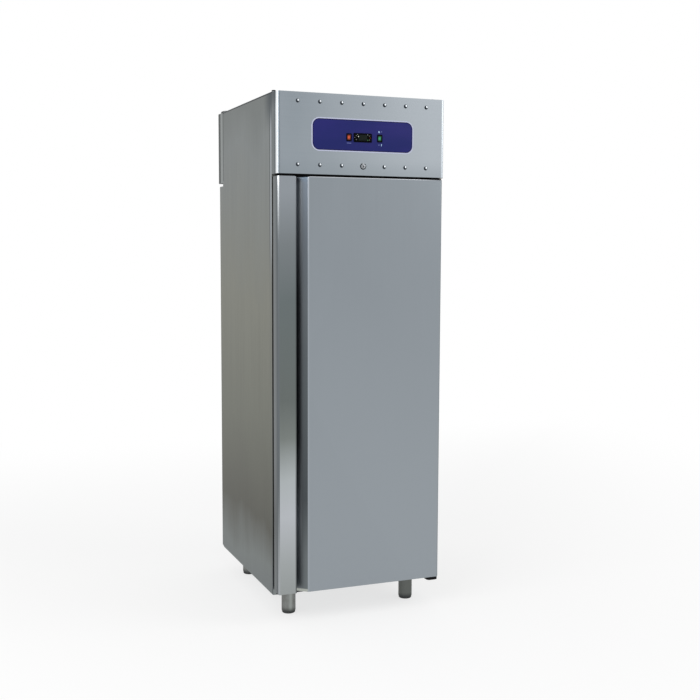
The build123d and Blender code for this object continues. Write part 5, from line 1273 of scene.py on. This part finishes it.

# Painted shade deep in the finger groove and under the bar's lip, lighter towards the groove's top and
# bottom, with painted light at the groove's top end and a painted highlight on its foot. A dark line of
# painted shade runs along the door's top.
groove = across.within(bar_edge, rim_start) * (depth > 0.0004)
under_lip = across.within(groove_left - 0.009, bar_edge) * (depth > 0.0105)
away = height.ramp(1.25, 1.70) + (1 - skin_finish.axis("Z", 0.40).size() / 0.35).most(0.0)
deep = across.ramp(slope_high, slope_low)
groove_shade = skin_finish.mix(away * deep, shade(88, 91, 96), shade(168, 174, 180))
groove_tone = skin_finish.layer(
    skin_finish.mix(depth.ramp(0.036, 0.004), groove_shade, skin_finish.graded(level, slope_tones)),
    (height.ramp(1.750, 1.776) * 0.7, shade(82, 94, 106)),
    (height.ramp(0.137, 0.134), shade(172, 176, 170)),
)
tone = skin_finish.layer(
    tone,
    (height > door_high - 0.0010, shade(18, 20, 24)),
    ((groove + under_lip).least(1.0), groove_tone),
)
skin_finish.set(Base_Color=tone, Roughness=0.34 + (blotch - 0.5) * 0.06 + (streaks - 0.5) * 0.10)

slot_x, slot_y, slot_depth = (-0.038, 0.012), (-0.4202, -0.4102), 0.0110
skin_sheet, foam_gap = 0.0009, 0.0012
form = door_form(0.0)
sink(form, "Z", door_high, slot_x, slot_y)
backs = [f for f in form.faces if all(v.co.y > door_back - 0.0001 for v in f.verts)]
bmesh.ops.delete(form, geom=backs, context="FACES")
bmesh.ops.recalc_face_normals(form, faces=form.faces)
bmesh.ops.solidify(form, geom=form.faces[:], thickness=skin_sheet)
new_piece(form, "door_sheet", skin_finish, "door", "door_skin", slot="stainless_front")

form = door_form(foam_gap)
sink(form, "Z", door_high - foam_gap, slot_x, slot_y, (0, 0, -slot_depth))
new_piece(form, "door_filling", foam_finish, "door", "door_foam", slot="foam")

back_finish = steel("door_liner_steel", "Z", shade(176, 180, 182), shade(192, 195, 196), roughness=0.30)
ride_finish(back_finish, "door_liner")


# Hinges: a bent steel bracket below the door and another above it, painted black, each with the pin
# that the door's plastic bushes turn on.
hinge_tones = shade(8, 8, 10), shade(64, 66, 68)
hinge_finish = mottled(
    "hinge_paint",
    0.006,
    hinge_tones,
    (0.66, 0.70),
    (0.40, 0.25),
    detail=4.0,
    depth=0.0001,
    Specular_IOR_Level=0.12,
)
hinge_x, hinge_y, hinge_half = 0.329, -0.409, 0.024
bracket_front, wall_y, wall_sheet = -0.426, -0.361, 0.004


def add_hinge(name, plate, pin, wall):
    """A bracket: a plate with two corners cut off, a flange on the cabinet, and a pin.

    The plate and the flange go from a lower level to an upper one, and the pin from root to end.
    """
    form = bmesh.new()
    left, right = hinge_x - hinge_half, hinge_x + hinge_half
    places = [(left, wall_y), (left, bracket_front), (right, bracket_front), (right, wall_y)]
    corners = [form.verts.new((*place, plate[0])) for place in places]
    form.faces.new(corners)
    rounded(form, corners[1:3], 0.012, 5, "VERTICES")
    draw_out(form, form.faces[:], (0, 0, plate[1] - plate[0]))
    rim = [e for e in form.edges if abs(e.verts[0].co.z - e.verts[1].co.z) < 0.00001]
    rounded(form, rim, 0.0006)
    add_block(form, (left, wall_y - wall_sheet, wall[0]), (right, wall_y, wall[1]), 0.0008)
    root, end = pin
    blunt = end - math.copysign(0.0012, end - root)
    outline = [(0.0, root), (0.006, root), (0.006, blunt), (0.0048, end), (0.0, end)]
    add_turned(form, outline, (hinge_x, hinge_y, 0.0), sides=28)
    button = [(0.0, 0.0022), (0.003, 0.0020), (0.0048, 0.0010), (0.0052, 0.0), (0.0052, -0.0005)]
    for x in (hinge_x - 0.014, hinge_x + 0.014):
        place = (x, wall_y - wall_sheet, (wall[0] + wall[1]) / 2)
        add_turned(form, button, place, upright, sides=20)
    new_piece(form, name + "_bracket", hinge_finish, "cabinet", name, slot="hinge_black")


add_hinge("hinge_bottom", (0.1095, 0.121), (0.1085, 0.143), (0.1045, 0.121))
add_hinge("hinge_top", (1.7815, 1.7845), (1.7815, 1.7595), (1.7815, 1.8085))

bush_tones = shade(228, 228, 222), shade(176, 174, 168)
bush_finish = mottled("bush_plastic", 0.004, bush_tones, (0.4, 0.8), (0.38, 0.2), Specular_IOR_Level=0.45)
ride_finish(bush_finish, "door_bushes")


# Gasket: a grey vinyl bellows pressed into the door liner all round. A magnet strip in its head pulls
# it flat against the front frame, and its corners are welded at a mitre.
gasket_tones = shade(74, 77, 82), shade(94, 97, 101)
gasket_finish = mottled(
    "gasket_vinyl",
    0.05,
    gasket_tones,
    (0.35, 0.75),
    (0.50, 0.15),
    grain=0.001,
    depth=0.00008,
    Specular_IOR_Level=0.4,
)
gasket_half, gasket_low, gasket_high, gasket_root = 0.313, 0.142, 1.745, -0.3762
gasket_side = [
    (0.0080, 0.0),
    (0.0088, 0.0014),
    (0.0062, 0.0032),
    (0.0040, 0.0046),
    (0.0066, 0.0062),
    (0.0044, 0.0078),
    (0.0104, 0.0090),
    (0.0118, 0.0106),
    (0.0118, 0.0136),
    (0.0106, 0.0147),
]
gasket_outline = gasket_side + [(-out, rise) for out, rise in reversed(gasket_side)]
form = bmesh.new()
start = 0.1
corners = [form.verts.new((start + out, gasket_root + rise, start + out)) for out, rise in gasket_outline]
edges = [form.edges.new(pair) for pair in zip(corners, corners[1:] + corners[:1])]
bmesh.ops.spin(
    form, geom=corners + edges, cent=(0, 0, 0), axis=(0, 1, 0), angle=2 * math.pi, steps=4, use_merge=True
)
bmesh.ops.remove_doubles(form, verts=form.verts, dist=0.00001)
for corner in form.verts:
    corner.co.x += math.copysign(gasket_half - start, corner.co.x)
    corner.co.z += gasket_high - start if corner.co.z > 0 else gasket_low + start
rounded(form, [edge for edge in form.edges if edge.calc_length() > 0.3], 0.0006, clamp=True)
new_piece(form, "gasket_bellows", gasket_finish, "door", "door_gasket", angle=30, slot="gasket")


# Wire shelves: a frame of thick rods bent round at its corners, with thirteen thin wires welded across
# it and a flat bar under their middle. They are dipped in a smooth pale grey coating.
wire_tones = shade(206, 208, 208), shade(188, 191, 192)
wire_finish = mottled(
    "shelf_coating",
    0.03,
    wire_tones,
    (0.35, 0.75),
    (0.34, 0.15),
    Coat_Weight=0.25,
    Coat_Roughness=0.2,
    Specular_IOR_Level=0.5,
)


def add_bar(form, start, end, radius, sides):
    """A round bar from one point to another."""
    start, end = Vector(start), Vector(end)
    turn = (end - start).to_track_quat("Z", "Y").to_matrix().to_4x4()
    bmesh.ops.create_cone(
        form,
        cap_ends=True,
        segments=sides,
        radius1=radius,
        radius2=radius,
        depth=(end - start).length,
        matrix=Matrix.Translation((start + end) / 2) @ turn,
    )


shelf_half, shelf_front, shelf_back = 0.265, -0.3248, 0.3252
rod_radius, wire_radius, bar_half = 0.004, 0.002, 0.002
wire_pitch = (2 * shelf_half - 2 * rod_radius) / 14
side, front, back = shelf_half - rod_radius, shelf_front + rod_radius, shelf_back - rod_radius
mid = (front + back) / 2
for number, underside in enumerate((0.3288, 0.7788, 1.2288), start=1):
    rod_z = underside + 0.0046
    wire_z = rod_z + 0.0006
    form = bmesh.new()
    loop = [(0.0, front, rod_z), (side, front, rod_z), (side, back, rod_z), (-side, back, rod_z)]
    loop += [(-side, front, rod_z), (0.0, front, rod_z)]
    add_run(form, loop, rod_radius, 0.016)
    for step in range(-6, 7):
        x = step * wire_pitch
        add_bar(form, (x, front, wire_z), (x, back, wire_z), wire_radius, sides=10)
    add_block(form, (-side, mid - bar_half, rod_z - 0.0040), (side, mid + bar_half, rod_z - 0.0012), 0.0005)
    name = f"wire_shelf_{number}"
    new_piece(form, name + "_grid", wire_finish, name, name, slot="shelf_wire")
